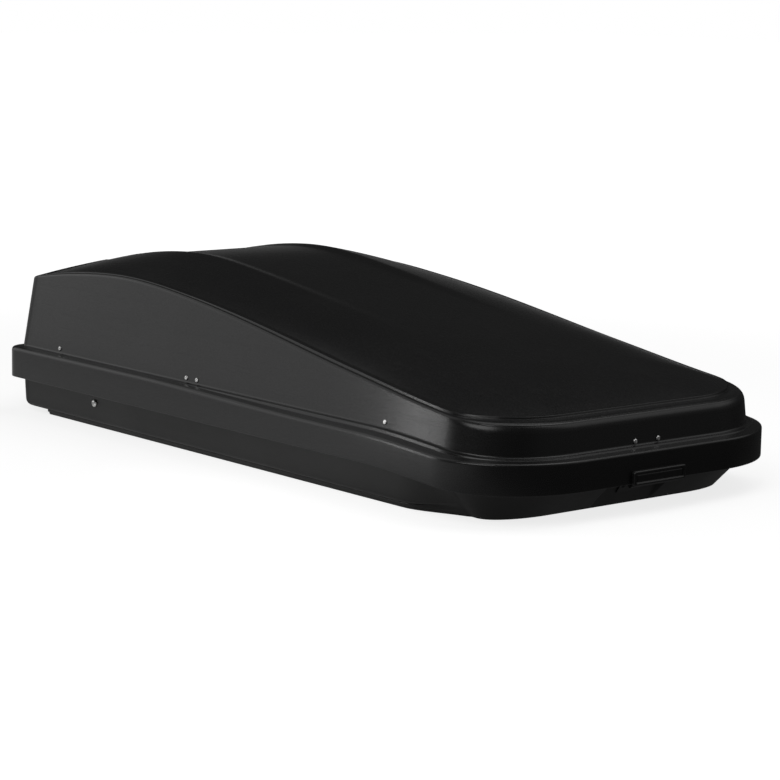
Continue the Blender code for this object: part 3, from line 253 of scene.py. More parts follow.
def loft(rings):
    """A mesh between closed rings of equal count, with coincident points welded."""
    shape = bmesh.new()
    rows = [[shape.verts.new(point) for point in ring] for ring in rings]
    for lower, upper in zip(rows, rows[1:]):
        close_band(shape, lower, upper)
    bmesh.ops.remove_doubles(shape, verts=shape.verts, dist=WELD_DISTANCE)
    return shape


def add_piece(name, shape, body, replaced, sharp_angle=SHARP_ANGLE):
    """Turns a finished shape into a named piece that rides on a body and stands for CAD nodes."""
    bmesh.ops.recalc_face_normals(shape, faces=shape.faces)
    mesh = bpy.data.meshes.new(name)
    shape.to_mesh(mesh)
    shape.free()
    mesh.shade_smooth()
    mesh.set_sharp_from_angle(angle=math.radians(sharp_angle))
    piece = bpy.data.objects.new(name, mesh)
    scene.collection.objects.link(piece)
    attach(piece, body)
    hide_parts(*replaced)
    return piece


# %% [markdown]
# ## The lid's heights
# The lid is low at the nose and tallest a quarter of the way from the rear. Two curves along its length
# give the height of the top's edge and how far the crown rises above it. At the nose the top is one
# pillow, and toward the rear it turns into two soft ridges with a slightly lower panel between them.
# The smooth curves pass through a few heights, which keeps the numbers few and the surface even.

# %% Lid heights
SHELL_THICKNESS = 0.0035
RIM_FOOT_Z = 0.078
RIM_SHELF_Z = 0.1437
NOSE_DIP = 0.0186
NOSE_DIP_START = 0.374
NOSE_DIP_END = 0.011
WALL_FOOT_INSET = 0.0303
WALL_LEAN = math.radians(6.7)
TOP_EDGE_HEIGHTS = ((0.00, 0.1860), (0.17, 0.1955), (0.45, 0.2360), (0.77, 0.2852),
                    (0.98, 0.3100), (1.20, 0.3255), (1.40, 0.3163), (1.60, 0.2875))
CROWN_HEIGHTS = ((0.00, 0.0280), (0.20, 0.0300), (0.45, 0.0360), (0.80, 0.0360), (1.20, 0.0460),
                 (1.60, 0.0250))
PILLOW_POWER = 4
FACET_SHARE = 0.72
RIDGE_HALF_SPACING = 0.165
RIDGE_SOFTNESS = 0.025
PANEL_HALF_WIDTH = 0.130
PANEL_RECESS = 0.005
PANEL_FADE_START = 0.45
PANEL_FADE_END = 1.10
SPINE_FROM_NOSE = 0.40
SPINE_FROM_REAR = 0.38


def smooth_curve(knots, y):
    """A smooth curve through heights that are each given at a distance from the nose."""
    places = np.array([knot[0] for knot in knots])
    heights = np.array([knot[1] for knot in knots])
    slopes = np.gradient(heights, places, edge_order=1)
    for k in range(1, len(knots) - 1):
        slopes[k] = (heights[k + 1] - heights[k - 1]) / (places[k + 1] - places[k - 1])
    distance = np.clip(np.asarray(y) - NOSE_Y, places[0], places[-1])
    index = np.clip(np.searchsorted(places, distance, side="right") - 1, 0, len(knots) - 2)
    span = places[index + 1] - places[index]
    share = (distance - places[index]) / span
    squared, cubed = share ** 2, share ** 3
    return (heights[index] * (2 * cubed - 3 * squared + 1) + heights[index + 1] * (3 * squared - 2 * cubed)
            + slopes[index] * span * (cubed - 2 * squared + share)
            + slopes[index + 1] * span * (cubed - squared))


def nose_dip(y):
    start, end = NOSE_Y + NOSE_DIP_START, NOSE_Y + NOSE_DIP_END
    return NOSE_DIP * smooth_step((start - y) / (start - end))


def wall_inset(z, y):
    return WALL_FOOT_INSET + (z - (RIM_SHELF_Z - nose_dip(y))) * math.tan(WALL_LEAN)


def soft_least(value, limit, softness):
    """The smaller of two values, with the corner between them rounded."""
    over = value - limit
    return limit + (over - np.sqrt(over ** 2 + softness ** 2)) / 2


def top_height(x, y, share):
    """Height of the top at a place, where share goes from 0 at the top's edge to 1 at its spine."""
    edge = smooth_curve(TOP_EDGE_HEIGHTS, y)
    half = HALF_WIDTH - wall_inset(edge, y)
    across = np.minimum(np.abs(x) / half, 1.0)
    ridge = RIDGE_HALF_SPACING / half
    crown = smooth_curve(CROWN_HEIGHTS, y)
    fade = smooth_step((y - NOSE_Y - PANEL_FADE_START) / (PANEL_FADE_END - PANEL_FADE_START))
    pillow = 1 - (1 - share) ** PILLOW_POWER
    arch = 1 - across ** PILLOW_POWER
    facet = soft_least((1 - across) / (1 - ridge), 1.0, RIDGE_SOFTNESS)
    panel = smooth_step((RIDGE_HALF_SPACING - np.abs(x)) / (RIDGE_HALF_SPACING - PANEL_HALF_WIDTH))
    return edge + crown * blend(pillow, blend(arch, facet, FACET_SHARE), fade) - PANEL_RECESS * fade * panel


print("crown", round(float(top_height(np.array(RIDGE_HALF_SPACING), np.array(0.3), 1.0)), 4))

# %% [markdown]
# ## The lid shell
# From the bottom up, the lid's outside is a soft lower edge, the rim's face, a roll onto the rim's
# shelf, a small step in the shelf that dies out toward the rear, the foot of the wall, the leaning wall,
# a rounded shoulder, a narrow ledge and the lip of the raised top. It could be one box with many bevels,
# but those bevels change along the length, so the outside is lofted from one rounded section that
# changes as it goes round. The inside is a plainer section, and the two join at the rim's lower edge,
# so the shell has its real thickness when the lid is open.

# %% Rim and crease sizes
FOOT_ROUNDING = 0.0016
WALL_FOOT_RADIUS = 0.0050
REAR_RIM = {"corner_drop": 0.0005, "roll": 0.0150, "step": 0.0000, "shelf_drop": 0.0000}
SIDE_RIM = {"corner_drop": 0.0125, "roll": 0.0080, "step": 0.0055, "shelf_drop": 0.0002}
NOSE_RIM = {"corner_drop": 0.0085, "roll": 0.0055, "step": 0.0022, "shelf_drop": 0.0030}
STEP_INSET = 0.018
STEP_RUN = 0.0012
STEP_FOOT_RADIUS = 0.0012
STEP_TOP_RADIUS = 0.0014
RIM_CHANGE = (0.30, -0.30)
NOSE_CHANGE = (-0.60, -0.74)
CREASE_STEP = {"rear": 0.0018, "side": 0.0050, "nose": 0.0060}
SHOULDER_RADIUS = {"rear": 0.0100, "side": 0.0080, "nose": 0.0220}
TOP_EDGE_OFFSET = {"rear": 0.017, "side": 0.017, "nose": 0.036}
SHOULDER_CORNER = 6
REAR_WALL_EASE = 0.006
LIP_WIDTH = 0.0075
LIP_FOOT_RADIUS = 0.0008
BEAD_RUN = 0.0010
BEAD_RADIUS = 0.0012
SIDE_BEAD_DROP = 0.0002
NOSE_BEAD_RISE = 0.0030
NOSE_GROOVE = 0.0022
GROOVE_RUN = 0.0026
GROOVE_RADIUS = 0.0010
TOP_LIP_RUN = 0.0042
TOP_LIP_RADIUS = 0.0014
INNER_RIM_RADIUS = 0.004
INNER_WALL_RADIUS = 0.006
INNER_STEPS = 3
# Shares of the way from the top's edge to its spine, closest at the edge and at the ridges.
TOP_SHARES = np.concatenate([[0, 0.012, 0.03, 0.06], np.arange(0.10, 0.46, 0.05),
                             np.arange(0.48, 0.68, 0.016), np.arange(0.70, 1.001, 0.05)])

TOWARD_SIDE = smooth_step((RIM_CHANGE[0] - ALONG) / (RIM_CHANGE[0] - RIM_CHANGE[1]))
TOWARD_NOSE = smooth_step((NOSE_CHANGE[0] - ALONG) / (NOSE_CHANGE[0] - NOSE_CHANGE[1]))


def along_the_box(rear, side, nose):
    """A size that changes from the rear to the sides and on to the nose."""
    return blend(blend(rear, side, TOWARD_SIDE), nose, TOWARD_NOSE)


REAR_SHARE = smooth_step((ALONG - (REAR_Y - REAR_CORNER_RADIUS)) / REAR_CORNER_RADIUS)
REAR_EASE = REAR_WALL_EASE * REAR_SHARE
RIM = {key: along_the_box(REAR_RIM[key], SIDE_RIM[key], NOSE_RIM[key]) for key in REAR_RIM}
SHELF = RIM_SHELF_Z - nose_dip(ALONG)
RIM_FOOT = RIM_FOOT_Z - nose_dip(ALONG)


# %% Lid rings
def top_rings(edge_row, drop):
    """Rings from the edge of the top to its spine, lowered by a thickness for the inside."""
    edge = ring_of(edge_row)
    spine_y = np.clip(edge[:, 1], NOSE_Y + SPINE_FROM_NOSE, REAR_Y - SPINE_FROM_REAR)
    rings = []
    for share in TOP_SHARES[1:]:
        x, y = blend(edge[:, 0], 0.0, share), blend(edge[:, 1], spine_y, share)
        rings.append(np.stack([x, y, top_height(x, y, share) - drop], axis=1))
    return rings


def top_edge():
    """Inset and height of the edge of the raised top, round the outline."""
    wall = wall_inset(smooth_curve(TOP_EDGE_HEIGHTS, ALONG), ALONG)
    inset = wall + along_the_box(*TOP_EDGE_OFFSET.values()) - REAR_EASE
    place = moved_inward(inset)
    return inset, top_height(place[:, 0], place[:, 1], 0.0)


def outer_corners(edge_inset, edge_z):
    """Corners of the lid's outside, from the rim's lower edge up to the edge of the top."""
    step = along_the_box(*CREASE_STEP.values())
    ledge_z = edge_z - step
    wall_top = wall_inset(ledge_z, ALONG) - REAR_EASE
    lip_start = edge_inset - LIP_WIDTH
    groove = NOSE_GROOVE * TOWARD_NOSE
    bead_z = blend(edge_z - SIDE_BEAD_DROP, ledge_z + NOSE_BEAD_RISE, TOWARD_NOSE)
    shelf = SHELF - RIM["shelf_drop"]
    return [
        (SHELL_THICKNESS, RIM_FOOT, 0), (0.0, RIM_FOOT, FOOT_ROUNDING),
        (0.0, SHELF - RIM["corner_drop"], RIM["roll"]),
        (STEP_INSET, shelf - RIM["step"], STEP_FOOT_RADIUS),
        (STEP_INSET + STEP_RUN, shelf, STEP_TOP_RADIUS),
        (WALL_FOOT_INSET - REAR_EASE, shelf, WALL_FOOT_RADIUS),
        (wall_top, ledge_z, along_the_box(*SHOULDER_RADIUS.values())),
        (lip_start - BEAD_RUN, ledge_z, LIP_FOOT_RADIUS),
        (lip_start, bead_z, BEAD_RADIUS),
        (lip_start + GROOVE_RUN, bead_z - groove, GROOVE_RADIUS),
        (lip_start + TOP_LIP_RUN, edge_z, TOP_LIP_RADIUS),
        (edge_inset, edge_z, 0)]


def inner_corners(edge_inset, edge_z):
    """Corners of the lid's inside, in the same order."""
    wall = SHELL_THICKNESS / math.cos(WALL_LEAN)
    ledge_z = edge_z - along_the_box(*CREASE_STEP.values()) - SHELL_THICKNESS
    shelf = SHELF - RIM["shelf_drop"] - RIM["step"] - SHELL_THICKNESS
    return [
        (SHELL_THICKNESS, RIM_FOOT, 0),
        (SHELL_THICKNESS, SHELF - RIM["corner_drop"] - SHELL_THICKNESS, INNER_RIM_RADIUS),
        (WALL_FOOT_INSET - REAR_EASE + wall, shelf, INNER_WALL_RADIUS),
        (wall_inset(ledge_z, ALONG) - REAR_EASE + wall, ledge_z, INNER_WALL_RADIUS),
        (edge_inset + wall, edge_z - SHELL_THICKNESS, 0)]


edge_inset, edge_z = top_edge()
outside = section(outer_corners(edge_inset, edge_z), big=SHOULDER_CORNER)
inside = section(inner_corners(edge_inset, edge_z), steps=INNER_STEPS)
lid_rings = [ring_of(row) for row in inside][::-1] + [ring_of(row) for row in outside[1:]]
lid_rings = top_rings(inside[-1], SHELL_THICKNESS)[::-1] + lid_rings + top_rings(outside[-1], 0.0)
lid = add_piece("lid_formed_shell", loft(lid_rings), "lid", ["lid_shell"])
print("lid rings", len(lid_rings), "faces", len(lid.data.polygons))

# %% [markdown]
# ## The base tray
# The tray's wall ends in a lip under the lid's shelf, falls to a rounded foot, and stands on a plinth
# with a rounded bead along its top edge, which stiffens the sheet. Across the nose the wall becomes a
# bow that slopes back, with a shallow recess in the middle. The same helper makes both sections, and a
# share that goes from the sides to the nose mixes them corner by corner. The bow's corners stay out a
# little, because the photograph shows a full corner there.

# %% Base sizes
BASE_LIP_INSET = 0.016
BASE_LIP_RADIUS = 0.002
BASE_LIP_LIFT = 0.0015
BASE_TOP_INSET = 0.031
BASE_BEND_INSET = 0.033
BASE_BEND_RADIUS = 0.004
BASE_FOOT_INSET = 0.035
BASE_FOOT_RADIUS = 0.0115
REAR_FOOT_RADIUS = 0.0200
FOOT_CORNER = 3
FOOT_LIFT = 0.0006
PLINTH_HEIGHT = 0.0105
PLINTH_INSET = 0.048
PLINTH_REAR_INSET = 0.100
PLINTH_LEAN = 0.0010
PLINTH_BEND = 0.0006
PLINTH_FOOT_Z = 0.0030
BEAD_STAND = 0.0036
BEAD_ROUNDING = 0.0016
BEAD_DEPTH = 0.0050
BEAD_END_DEPTH = 0.0055
OUTER_STEPS = 5
OUTER_BOW_HEIGHTS = (0.062, 0.030, 0.022, 0.017, 0.012, 0.008, 0.004, 0.0)
INSIDE_LIP_RADIUS = 0.004
INSIDE_FOOT_RADIUS = 0.008
INSIDE_PLINTH_RADIUS = 0.0015
INSIDE_PLINTH_DROP = 0.002
INSIDE_STEPS = 4
INSIDE_BOW_HEIGHTS = (0.062, 0.030, 0.012, SHELL_THICKNESS)
INSIDE_BOW_SHIFT = 0.0052
BOW_TOP_Z = 0.062
BOW_FOOT_INSET = 0.097
BOW_BLEND = (-0.50, -0.66)
RECESS_HALF_WIDTH = 0.074
RECESS_WALL_RUN = 0.006
RECESS_DEPTH = 0.022
CORNER_FULLNESS = 0.010
LIP_GAP = 0.0076
FLOOR_Z = SHELL_THICKNESS
BASE_LIP_Z = SHELF - RIM["step"] * (1 - TOWARD_NOSE) - LIP_GAP - SHELL_THICKNESS + BASE_LIP_LIFT
TOWARD_BOW = smooth_step((BOW_BLEND[0] - ALONG) / (BOW_BLEND[0] - BOW_BLEND[1]))


def bow_inset(z):
    return blend(BOW_FOOT_INSET, BASE_TOP_INSET, z / BOW_TOP_Z)


def recess_inset(x, y, z):
    """Extra inset of the recess in the nose, full at the top of the bow and none at the floor."""
    share = 1 - smooth_step((np.abs(x) - RECESS_HALF_WIDTH) / RECESS_WALL_RUN)
    in_nose = y <= NOSE_Y + NOSE_CORNER_LENGTH
    return np.where(in_nose, share * RECESS_DEPTH * np.minimum(z / BOW_TOP_Z, 1.0), 0.0)


def corner_outset(inset):
    """How far the bow stays out at the nose corners, most at its foot and none at its top."""
    at_corner = (2 * INWARD[:, 0] * INWARD[:, 1]) ** 2 * TOWARD_BOW
    down_the_bow = np.clip((inset - BASE_TOP_INSET) / (BOW_FOOT_INSET - BASE_TOP_INSET), 0.0, 1.0)
    return CORNER_FULLNESS * at_corner * down_the_bow


def mixed_corners(side, nose_heights, shift):
    """Side corners turned into points of the bow, except the first two, which belong to the lip."""
    corners = list(side[:2])
    for (inset, z, radius), nose_z in zip(side[2:], nose_heights):
        corners.append((blend(inset, bow_inset(nose_z) + shift, TOWARD_BOW),
                        blend(z, nose_z, TOWARD_BOW), radius * (1 - TOWARD_BOW)))
    return corners


def tray_ring(row, on_plinth):
    """A ring of the tray. On the plinth its rear end is drawn forward, because the plinth stops short."""
    inset = row[:, 0] + recess_inset(OUTLINE[:, 0], ALONG, row[:, 1]) - corner_outset(row[:, 0])
    ring = ring_of(np.stack([inset, row[:, 1]], axis=1))
    if on_plinth:
        start = REAR_Y - 2 * PLINTH_REAR_INSET
        share = (ring[:, 1] - start) / (REAR_Y - PLINTH_INSET - start)
        drawn = start + share * (REAR_Y - PLINTH_REAR_INSET - start)
        ring[:, 1] = np.where(ring[:, 1] > start, drawn, ring[:, 1])
    return ring


def tray_outside():
    foot = PLINTH_HEIGHT + FOOT_LIFT
    wall = PLINTH_INSET - PLINTH_LEAN
    bead = PLINTH_INSET - BEAD_STAND
    side = [
        (BASE_LIP_INSET, BASE_LIP_Z, 0),
        (BASE_TOP_INSET - REAR_EASE, BASE_LIP_Z, BASE_LIP_RADIUS),
        (BASE_BEND_INSET - REAR_EASE, BOW_TOP_Z, BASE_BEND_RADIUS),
        (BASE_FOOT_INSET - REAR_EASE, foot, blend(BASE_FOOT_RADIUS, REAR_FOOT_RADIUS, REAR_SHARE)),
        (wall, foot, PLINTH_BEND),
        (bead, PLINTH_HEIGHT, BEAD_ROUNDING),
        (bead, PLINTH_HEIGHT - BEAD_DEPTH, BEAD_ROUNDING),
        (wall, PLINTH_HEIGHT - BEAD_END_DEPTH, PLINTH_BEND),
        (wall, PLINTH_FOOT_Z, PLINTH_BEND),
        (PLINTH_INSET, 0.0, 0)]
    return section(mixed_corners(side, OUTER_BOW_HEIGHTS, 0.0), steps=OUTER_STEPS, big=FOOT_CORNER)


def tray_inside():
    lip_z = BASE_LIP_Z + SHELL_THICKNESS
    plinth_z = PLINTH_HEIGHT + SHELL_THICKNESS
    plinth_inset = PLINTH_INSET + SHELL_THICKNESS
    side = [
        (BASE_LIP_INSET, lip_z, 0),
        (BASE_TOP_INSET + SHELL_THICKNESS, lip_z, INSIDE_LIP_RADIUS),
        (BASE_BEND_INSET + SHELL_THICKNESS, BOW_TOP_Z, 0),
        (BASE_FOOT_INSET + SHELL_THICKNESS, plinth_z, INSIDE_FOOT_RADIUS),
        (plinth_inset, plinth_z - INSIDE_PLINTH_DROP, INSIDE_PLINTH_RADIUS),
        (plinth_inset, FLOOR_Z, 0)]
    return section(mixed_corners(side, INSIDE_BOW_HEIGHTS, INSIDE_BOW_SHIFT), steps=INSIDE_STEPS)


# %% Base mesh
# The plinth begins after the first row and four rounded corners, and inside with the last six rows.
OUTER_PLINTH_FIRST = 1 + 4 * (OUTER_STEPS + 1)
INNER_PLINTH_ROWS = 6
LEVEL_TOLERANCE = 0.0005
outer_rows, inner_rows = tray_outside(), tray_inside()
inner_plinth_first = len(inner_rows) - INNER_PLINTH_ROWS
outer_rings = [tray_ring(row, index >= OUTER_PLINTH_FIRST) for index, row in enumerate(outer_rows)]
inner_rings = [tray_ring(row, index >= inner_plinth_first) for index, row in enumerate(inner_rows)]
tray = loft(inner_rings[::-1] + outer_rings)
open_edges = [edge for edge in tray.edges if edge.is_boundary]
for level in (0.0, FLOOR_Z):
    rim_edges = [edge for edge in open_edges
                 if all(abs(corner.co.z - level) < LEVEL_TOLERANCE for corner in edge.verts)]
    bmesh.ops.contextual_create(tray, geom=rim_edges)
print("base rings", len(outer_rings) + len(inner_rings), "faces", len(tray.faces))

# %% [markdown]
# ## Slots for the roof bars
# Eight long slots in the floor let the carrier be fixed at different places on a car's roof bars. They
# are cut out with one mesh of rounded slots, because a cut through both faces of the floor leaves the
# sheet's thickness showing at the edge, which a dark picture of a slot would not.

# %% Slots
SLOT_HALF_LENGTH = 0.030
SLOT_HALF_WIDTH = 0.0045
SLOT_FROM_MIDDLE = 0.230
SLOT_FROM_BAR = 0.010
CUT_LOW_Z = -0.01
CUT_HIGH_Z = 0.02
bar_low, bar_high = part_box("floor_bar_front")
BAR_HALF_WIDTH = (bar_high.y - bar_low.y) / 2
BAR_MIDDLES = [(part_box(name)[0].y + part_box(name)[1].y) / 2
               for name in ("floor_bar_front", "floor_bar_rear")]


def slot_cutter(places, steps=10):
    """A mesh of upright bars with round ends, one for each slot."""
    shape = bmesh.new()
    straight = SLOT_HALF_LENGTH - SLOT_HALF_WIDTH
    for x, y in places:
        loop = []
        for side in (1, -1):
            for angle in np.linspace(-math.pi / 2, math.pi / 2, steps + 1):
                loop.append((x + side * (straight + SLOT_HALF_WIDTH * math.cos(angle)),
                             y + side * SLOT_HALF_WIDTH * math.sin(angle)))
        low = [shape.verts.new((*point, CUT_LOW_Z)) for point in loop]
        high = [shape.verts.new((*point, CUT_HIGH_Z)) for point in loop]
        shape.faces.new(low)
        shape.faces.new(high)
        close_band(shape, low, high)
    bmesh.ops.recalc_face_normals(shape, faces=shape.faces)
    mesh = bpy.data.meshes.new("slot_cutter")
    shape.to_mesh(mesh)
    shape.free()
    return mesh


slot_offset = BAR_HALF_WIDTH + SLOT_FROM_BAR
slot_places = [(side * SLOT_FROM_MIDDLE, middle + way * slot_offset)
               for middle in BAR_MIDDLES for way in (-1, 1) for side in (-1, 1)]
cutter = bpy.data.objects.new("slot_cutter", slot_cutter(slot_places))
scene.collection.objects.link(cutter)
base = add_piece("base_formed_tray", tray, "base", ["base_shell"])
cut = base.modifiers.new("Slots", "BOOLEAN")
cut.object = cutter
cut.solver = "EXACT"
depsgraph = bpy.context.evaluated_depsgraph_get()
cut_mesh = bpy.data.meshes.new_from_object(base.evaluated_get(depsgraph))
base.modifiers.remove(cut)
base.data = cut_mesh
cut_mesh.name = "base_formed_tray"
cut_mesh.set_sharp_from_angle(angle=math.radians(SHARP_ANGLE))
bpy.data.objects.remove(cutter, do_unlink=True)
print("base faces after the slots", len(cut_mesh.polygons))

# %% [markdown]
# ## Turned hardware
# Rivets and screws are turned or headed parts, round about one axis, so each is a profile of radius and
# height swept round. A hexagon socket is the same sweep with a radius that follows a hexagon. Sixty
# segments keep the small bright heads round in a close view.

# %% Turning helper
TURN_SEGMENTS = 60


def frame_along(origin, direction):
    turn = Vector((0, 0, 1)).rotation_difference(Vector(direction).normalized())
    return Matrix.Translation(Vector(origin)) @ turn.to_matrix().to_4x4()


def hexagon_radius(flat_radius, angle):
    return flat_radius / math.cos((angle % (math.pi / 3)) - math.pi / 6)


def turned(profile, matrix):
    """A closed turned shape from (radius, height, is_hexagon) points, first and last on the axis."""
    shape = bmesh.new()
    rings = []
    for radius, height, hexagon in profile:
        if radius == 0:
            rings.append([shape.verts.new((0, 0, height))])
            continue
        ring = []
        for step in range(TURN_SEGMENTS):
            angle = 2 * math.pi * step / TURN_SEGMENTS
            reach = hexagon_radius(radius, angle) if hexagon else radius
            ring.append(shape.verts.new((reach * math.cos(angle), reach * math.sin(angle), height)))
        rings.append(ring)
    for lower, upper in zip(rings, rings[1:]):
        for step in range(TURN_SEGMENTS):
            after = (step + 1) % TURN_SEGMENTS
            corners = [lower[step % len(lower)], lower[after % len(lower)],
                       upper[after % len(upper)], upper[step % len(upper)]]
            shape.faces.new(list(dict.fromkeys(corners)))
    bmesh.ops.transform(shape, matrix=matrix, verts=shape.verts)
    return shape


# %% [markdown]
# ## Rivets
# Blind rivets hold the hinge, the guides and the stay brackets to the lid. A real one has a low dome
# with a small hole in the middle, where the pulled pin broke off. Each stands square to the leaning
# wall at the place of its CAD node, whose box gives the position along the wall.

# %% Rivets
RIVET_HEAD_RADIUS = 0.0048
RIVET_HEAD_HEIGHT = 0.0022
RIVET_SHANK_RADIUS = 0.0024
RIVET_GRIP = 0.0085
RIVET_STAND = 0.0003
RIVET_SKIRT = 0.0006
RIVET_EDGE = 0.0002
RIVET_FLAT_SHARE = 0.30
DOME_START = 0.35
DOME_STEPS = 9
DIMPLE_DEPTH = 0.0010
DIMPLE_RADII = (0.0009, 0.0011, 0.0013)
DIMPLE_EDGE = 0.0001
GUIDE_RIVET_Z = 0.1545
STAY_RIVET_Z = 0.1530
NOSE_RIVET_Z = 0.1300


def rivet_profile():
    """A dome with a dimple, then its skirt and the shank, as (radius, height, is_hexagon) points."""
    top = RIVET_STAND + RIVET_HEAD_HEIGHT
    floor_radius, wall_radius, rim_radius = DIMPLE_RADII
    points = [(0, top - DIMPLE_DEPTH, False), (floor_radius, top - DIMPLE_DEPTH, False),
              (wall_radius, top - DIMPLE_EDGE, False), (rim_radius, top, False)]
    for angle in np.linspace(DOME_START, math.pi / 2, DOME_STEPS):
        dome_height = (RIVET_HEAD_HEIGHT - RIVET_SKIRT) * math.cos(angle)
        reach = RIVET_FLAT_SHARE + (1 - RIVET_FLAT_SHARE) * math.sin(angle)
        points.append((RIVET_HEAD_RADIUS * reach, RIVET_STAND + RIVET_SKIRT + dome_height, False))
    points += [(RIVET_HEAD_RADIUS, RIVET_STAND + RIVET_EDGE, False),
               (RIVET_HEAD_RADIUS - RIVET_EDGE, RIVET_STAND, False),
               (RIVET_SHANK_RADIUS, RIVET_STAND, False), (RIVET_SHANK_RADIUS, -RIVET_GRIP, False),
               (0, -RIVET_GRIP, False)]
    return points


def side_wall(side, y, z):
    """A place on the lid's side wall and the way it faces."""
    normal = Vector((side * math.cos(WALL_LEAN), 0, math.sin(WALL_LEAN)))
    return Vector((side * (HALF_WIDTH - float(wall_inset(z, y))), y, z)), normal


def middle_of(node):
    low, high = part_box(node)
    return (low + high) / 2


def add_rivet(node, place, out):
    shape = turned(rivet_profile(), frame_along(place, out))
    add_piece(f"{node}_head", shape, "lid", [node])


for side_name, side in (("left", 1), ("right", -1)):
    for stem, height in (("rear_rivet", GUIDE_RIVET_Z), ("front_rivet", GUIDE_RIVET_Z),
                         ("stay_rivet_front", STAY_RIVET_Z), ("stay_rivet_rear", STAY_RIVET_Z)):
        node = f"{stem}_{side_name}"
        add_rivet(node, *side_wall(side, middle_of(node).y, height))
    node = f"nose_rivet_{side_name}"
    nose_wall_y = NOSE_Y + float(wall_inset(NOSE_RIVET_Z, NOSE_Y))
    add_rivet(node, Vector((middle_of(node).x, nose_wall_y, NOSE_RIVET_Z)),
              Vector((0, -math.cos(WALL_LEAN), math.sin(WALL_LEAN))))

# %% [markdown]
# ## The stay screws
# One button-head screw on each side of the tray carries the lower end of the stay. Its head is the
# largest bright spot on the box, so it gets a rounded rim and a hexagon socket.

# %% Stay screws
SCREW_HEAD_RADIUS = 0.0080
SCREW_HEAD_HEIGHT = 0.0048
SOCKET_FLAT_RADIUS = 0.0025
SOCKET_DEPTH = 0.0024
SOCKET_CHAMFER = 0.0003
SOCKET_RIM = 0.0004
BUTTON_START = 0.40
BUTTON_STEPS = 10
BUTTON_SKIRT = 0.0010
BUTTON_FULLNESS = 0.8
BUTTON_EDGE = 0.0003
SCREW_CORE_RADIUS = 0.0030


def screw_profile(length):
    """A socket, a domed button and the screw's core, as (radius, height, is_hexagon) points."""
    top = SCREW_HEAD_HEIGHT
    points = [(0, top - SOCKET_DEPTH, False), (SOCKET_FLAT_RADIUS, top - SOCKET_DEPTH, True),
              (SOCKET_FLAT_RADIUS, top - SOCKET_CHAMFER, True),
              (SOCKET_FLAT_RADIUS + SOCKET_RIM, top, False)]
    for angle in np.linspace(BUTTON_START, math.pi / 2, BUTTON_STEPS):
        dome_height = (top - BUTTON_SKIRT) * math.cos(angle) ** BUTTON_FULLNESS
        points.append((SCREW_HEAD_RADIUS * math.sin(angle), BUTTON_SKIRT + dome_height, False))
    points += [(SCREW_HEAD_RADIUS, BUTTON_EDGE, False), (SCREW_HEAD_RADIUS - BUTTON_EDGE, 0, False),
               (SCREW_CORE_RADIUS, 0, False), (SCREW_CORE_RADIUS, -length, False), (0, -length, False)]
    return points


for side_name, side in (("left", 1), ("right", -1)):
    node = f"stay_screw_{side_name}"
    low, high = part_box(node)
    outer = high.x if side > 0 else low.x
    inner = low.x if side > 0 else high.x
    place = Vector((outer - side * SCREW_HEAD_HEIGHT, (low.y + high.y) / 2, (low.z + high.z) / 2))
    length = abs(outer - inner) - SCREW_HEAD_HEIGHT
    shape = turned(screw_profile(length), frame_along(place, (side, 0, 0)))
    add_piece(f"{node}_button", shape, "base", [node])
    print(node, "length", round(length, 4))

# %% [markdown]
# ## The cover over the nose hinge
# A moulded plate with a raised frame hides the hinge pin. Nested rounded rectangles make it: each pair
# of rings is one wall or one band, so the frame, its rounded edges and the sunk panel inside it come
# from one short list.

# %% Nose cover
COVER_SHARP_ANGLE = 50
# Inset from the edge, distance behind the front, and corner radius of each ring after the one at the back.
COVER_RINGS = ((0.0, 0.0022, 0.0050), (0.0006, 0.0008, 0.0048), (0.0018, 0.0, 0.0042), (0.0036, 0.0, 0.0034),
               (0.0046, 0.0006, 0.0030), (0.0052, 0.0022, 0.0028), (0.0062, 0.0028, 0.0024),
               (0.0074, 0.0028, 0.0020), (0.0082, 0.0020, 0.0018), (0.0094, 0.0020, 0.0016))
cover_low, cover_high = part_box("nose_hinge_cover")


def rounded_rectangle(half_width, half_height, radius, steps=8):
    loop = []
    for index, (sx, sz) in enumerate(((1, 1), (-1, 1), (-1, -1), (1, -1))):
        for angle in np.linspace(0, math.pi / 2, steps + 1) + index * math.pi / 2:
            loop.append((sx * (half_width - radius) + radius * math.cos(angle),
                         sz * (half_height - radius) + radius * math.sin(angle)))
    return loop


def cover_shape():
    half_width = (cover_high.x - cover_low.x) / 2
    half_height = (cover_high.z - cover_low.z) / 2
    depth = cover_high.y - cover_low.y
    middle_z = (cover_high.z + cover_low.z) / 2
    shape = bmesh.new()
    rings = []
    for inset, behind, radius in ((0.0, depth, COVER_RINGS[0][2]), *COVER_RINGS):
        loop = rounded_rectangle(half_width - inset, half_height - inset, radius)
        y = cover_high.y - (depth - behind)
        rings.append([shape.verts.new((x, y, middle_z + z)) for x, z in loop])
    for lower, upper in zip(rings, rings[1:]):
        close_band(shape, lower, upper)
    shape.faces.new(rings[0])
    shape.faces.new(rings[-1])
    return shape


cover = add_piece("nose_cover_plate", cover_shape(), "lid", ["nose_hinge_cover"],
                  sharp_angle=COVER_SHARP_ANGLE)
print("cover faces", len(cover.data.polygons))

# %% [markdown]
# ## Edges on the carried hardware
# The stays, brackets, hinge leaves, floor bars and lock are shaped right in the CAD model. Real pressed
# and cast parts have small rounded edges that catch the light, so each gets a bevel of its own scale.
# The meshes are left as they are, and the bevel is a modifier on top.

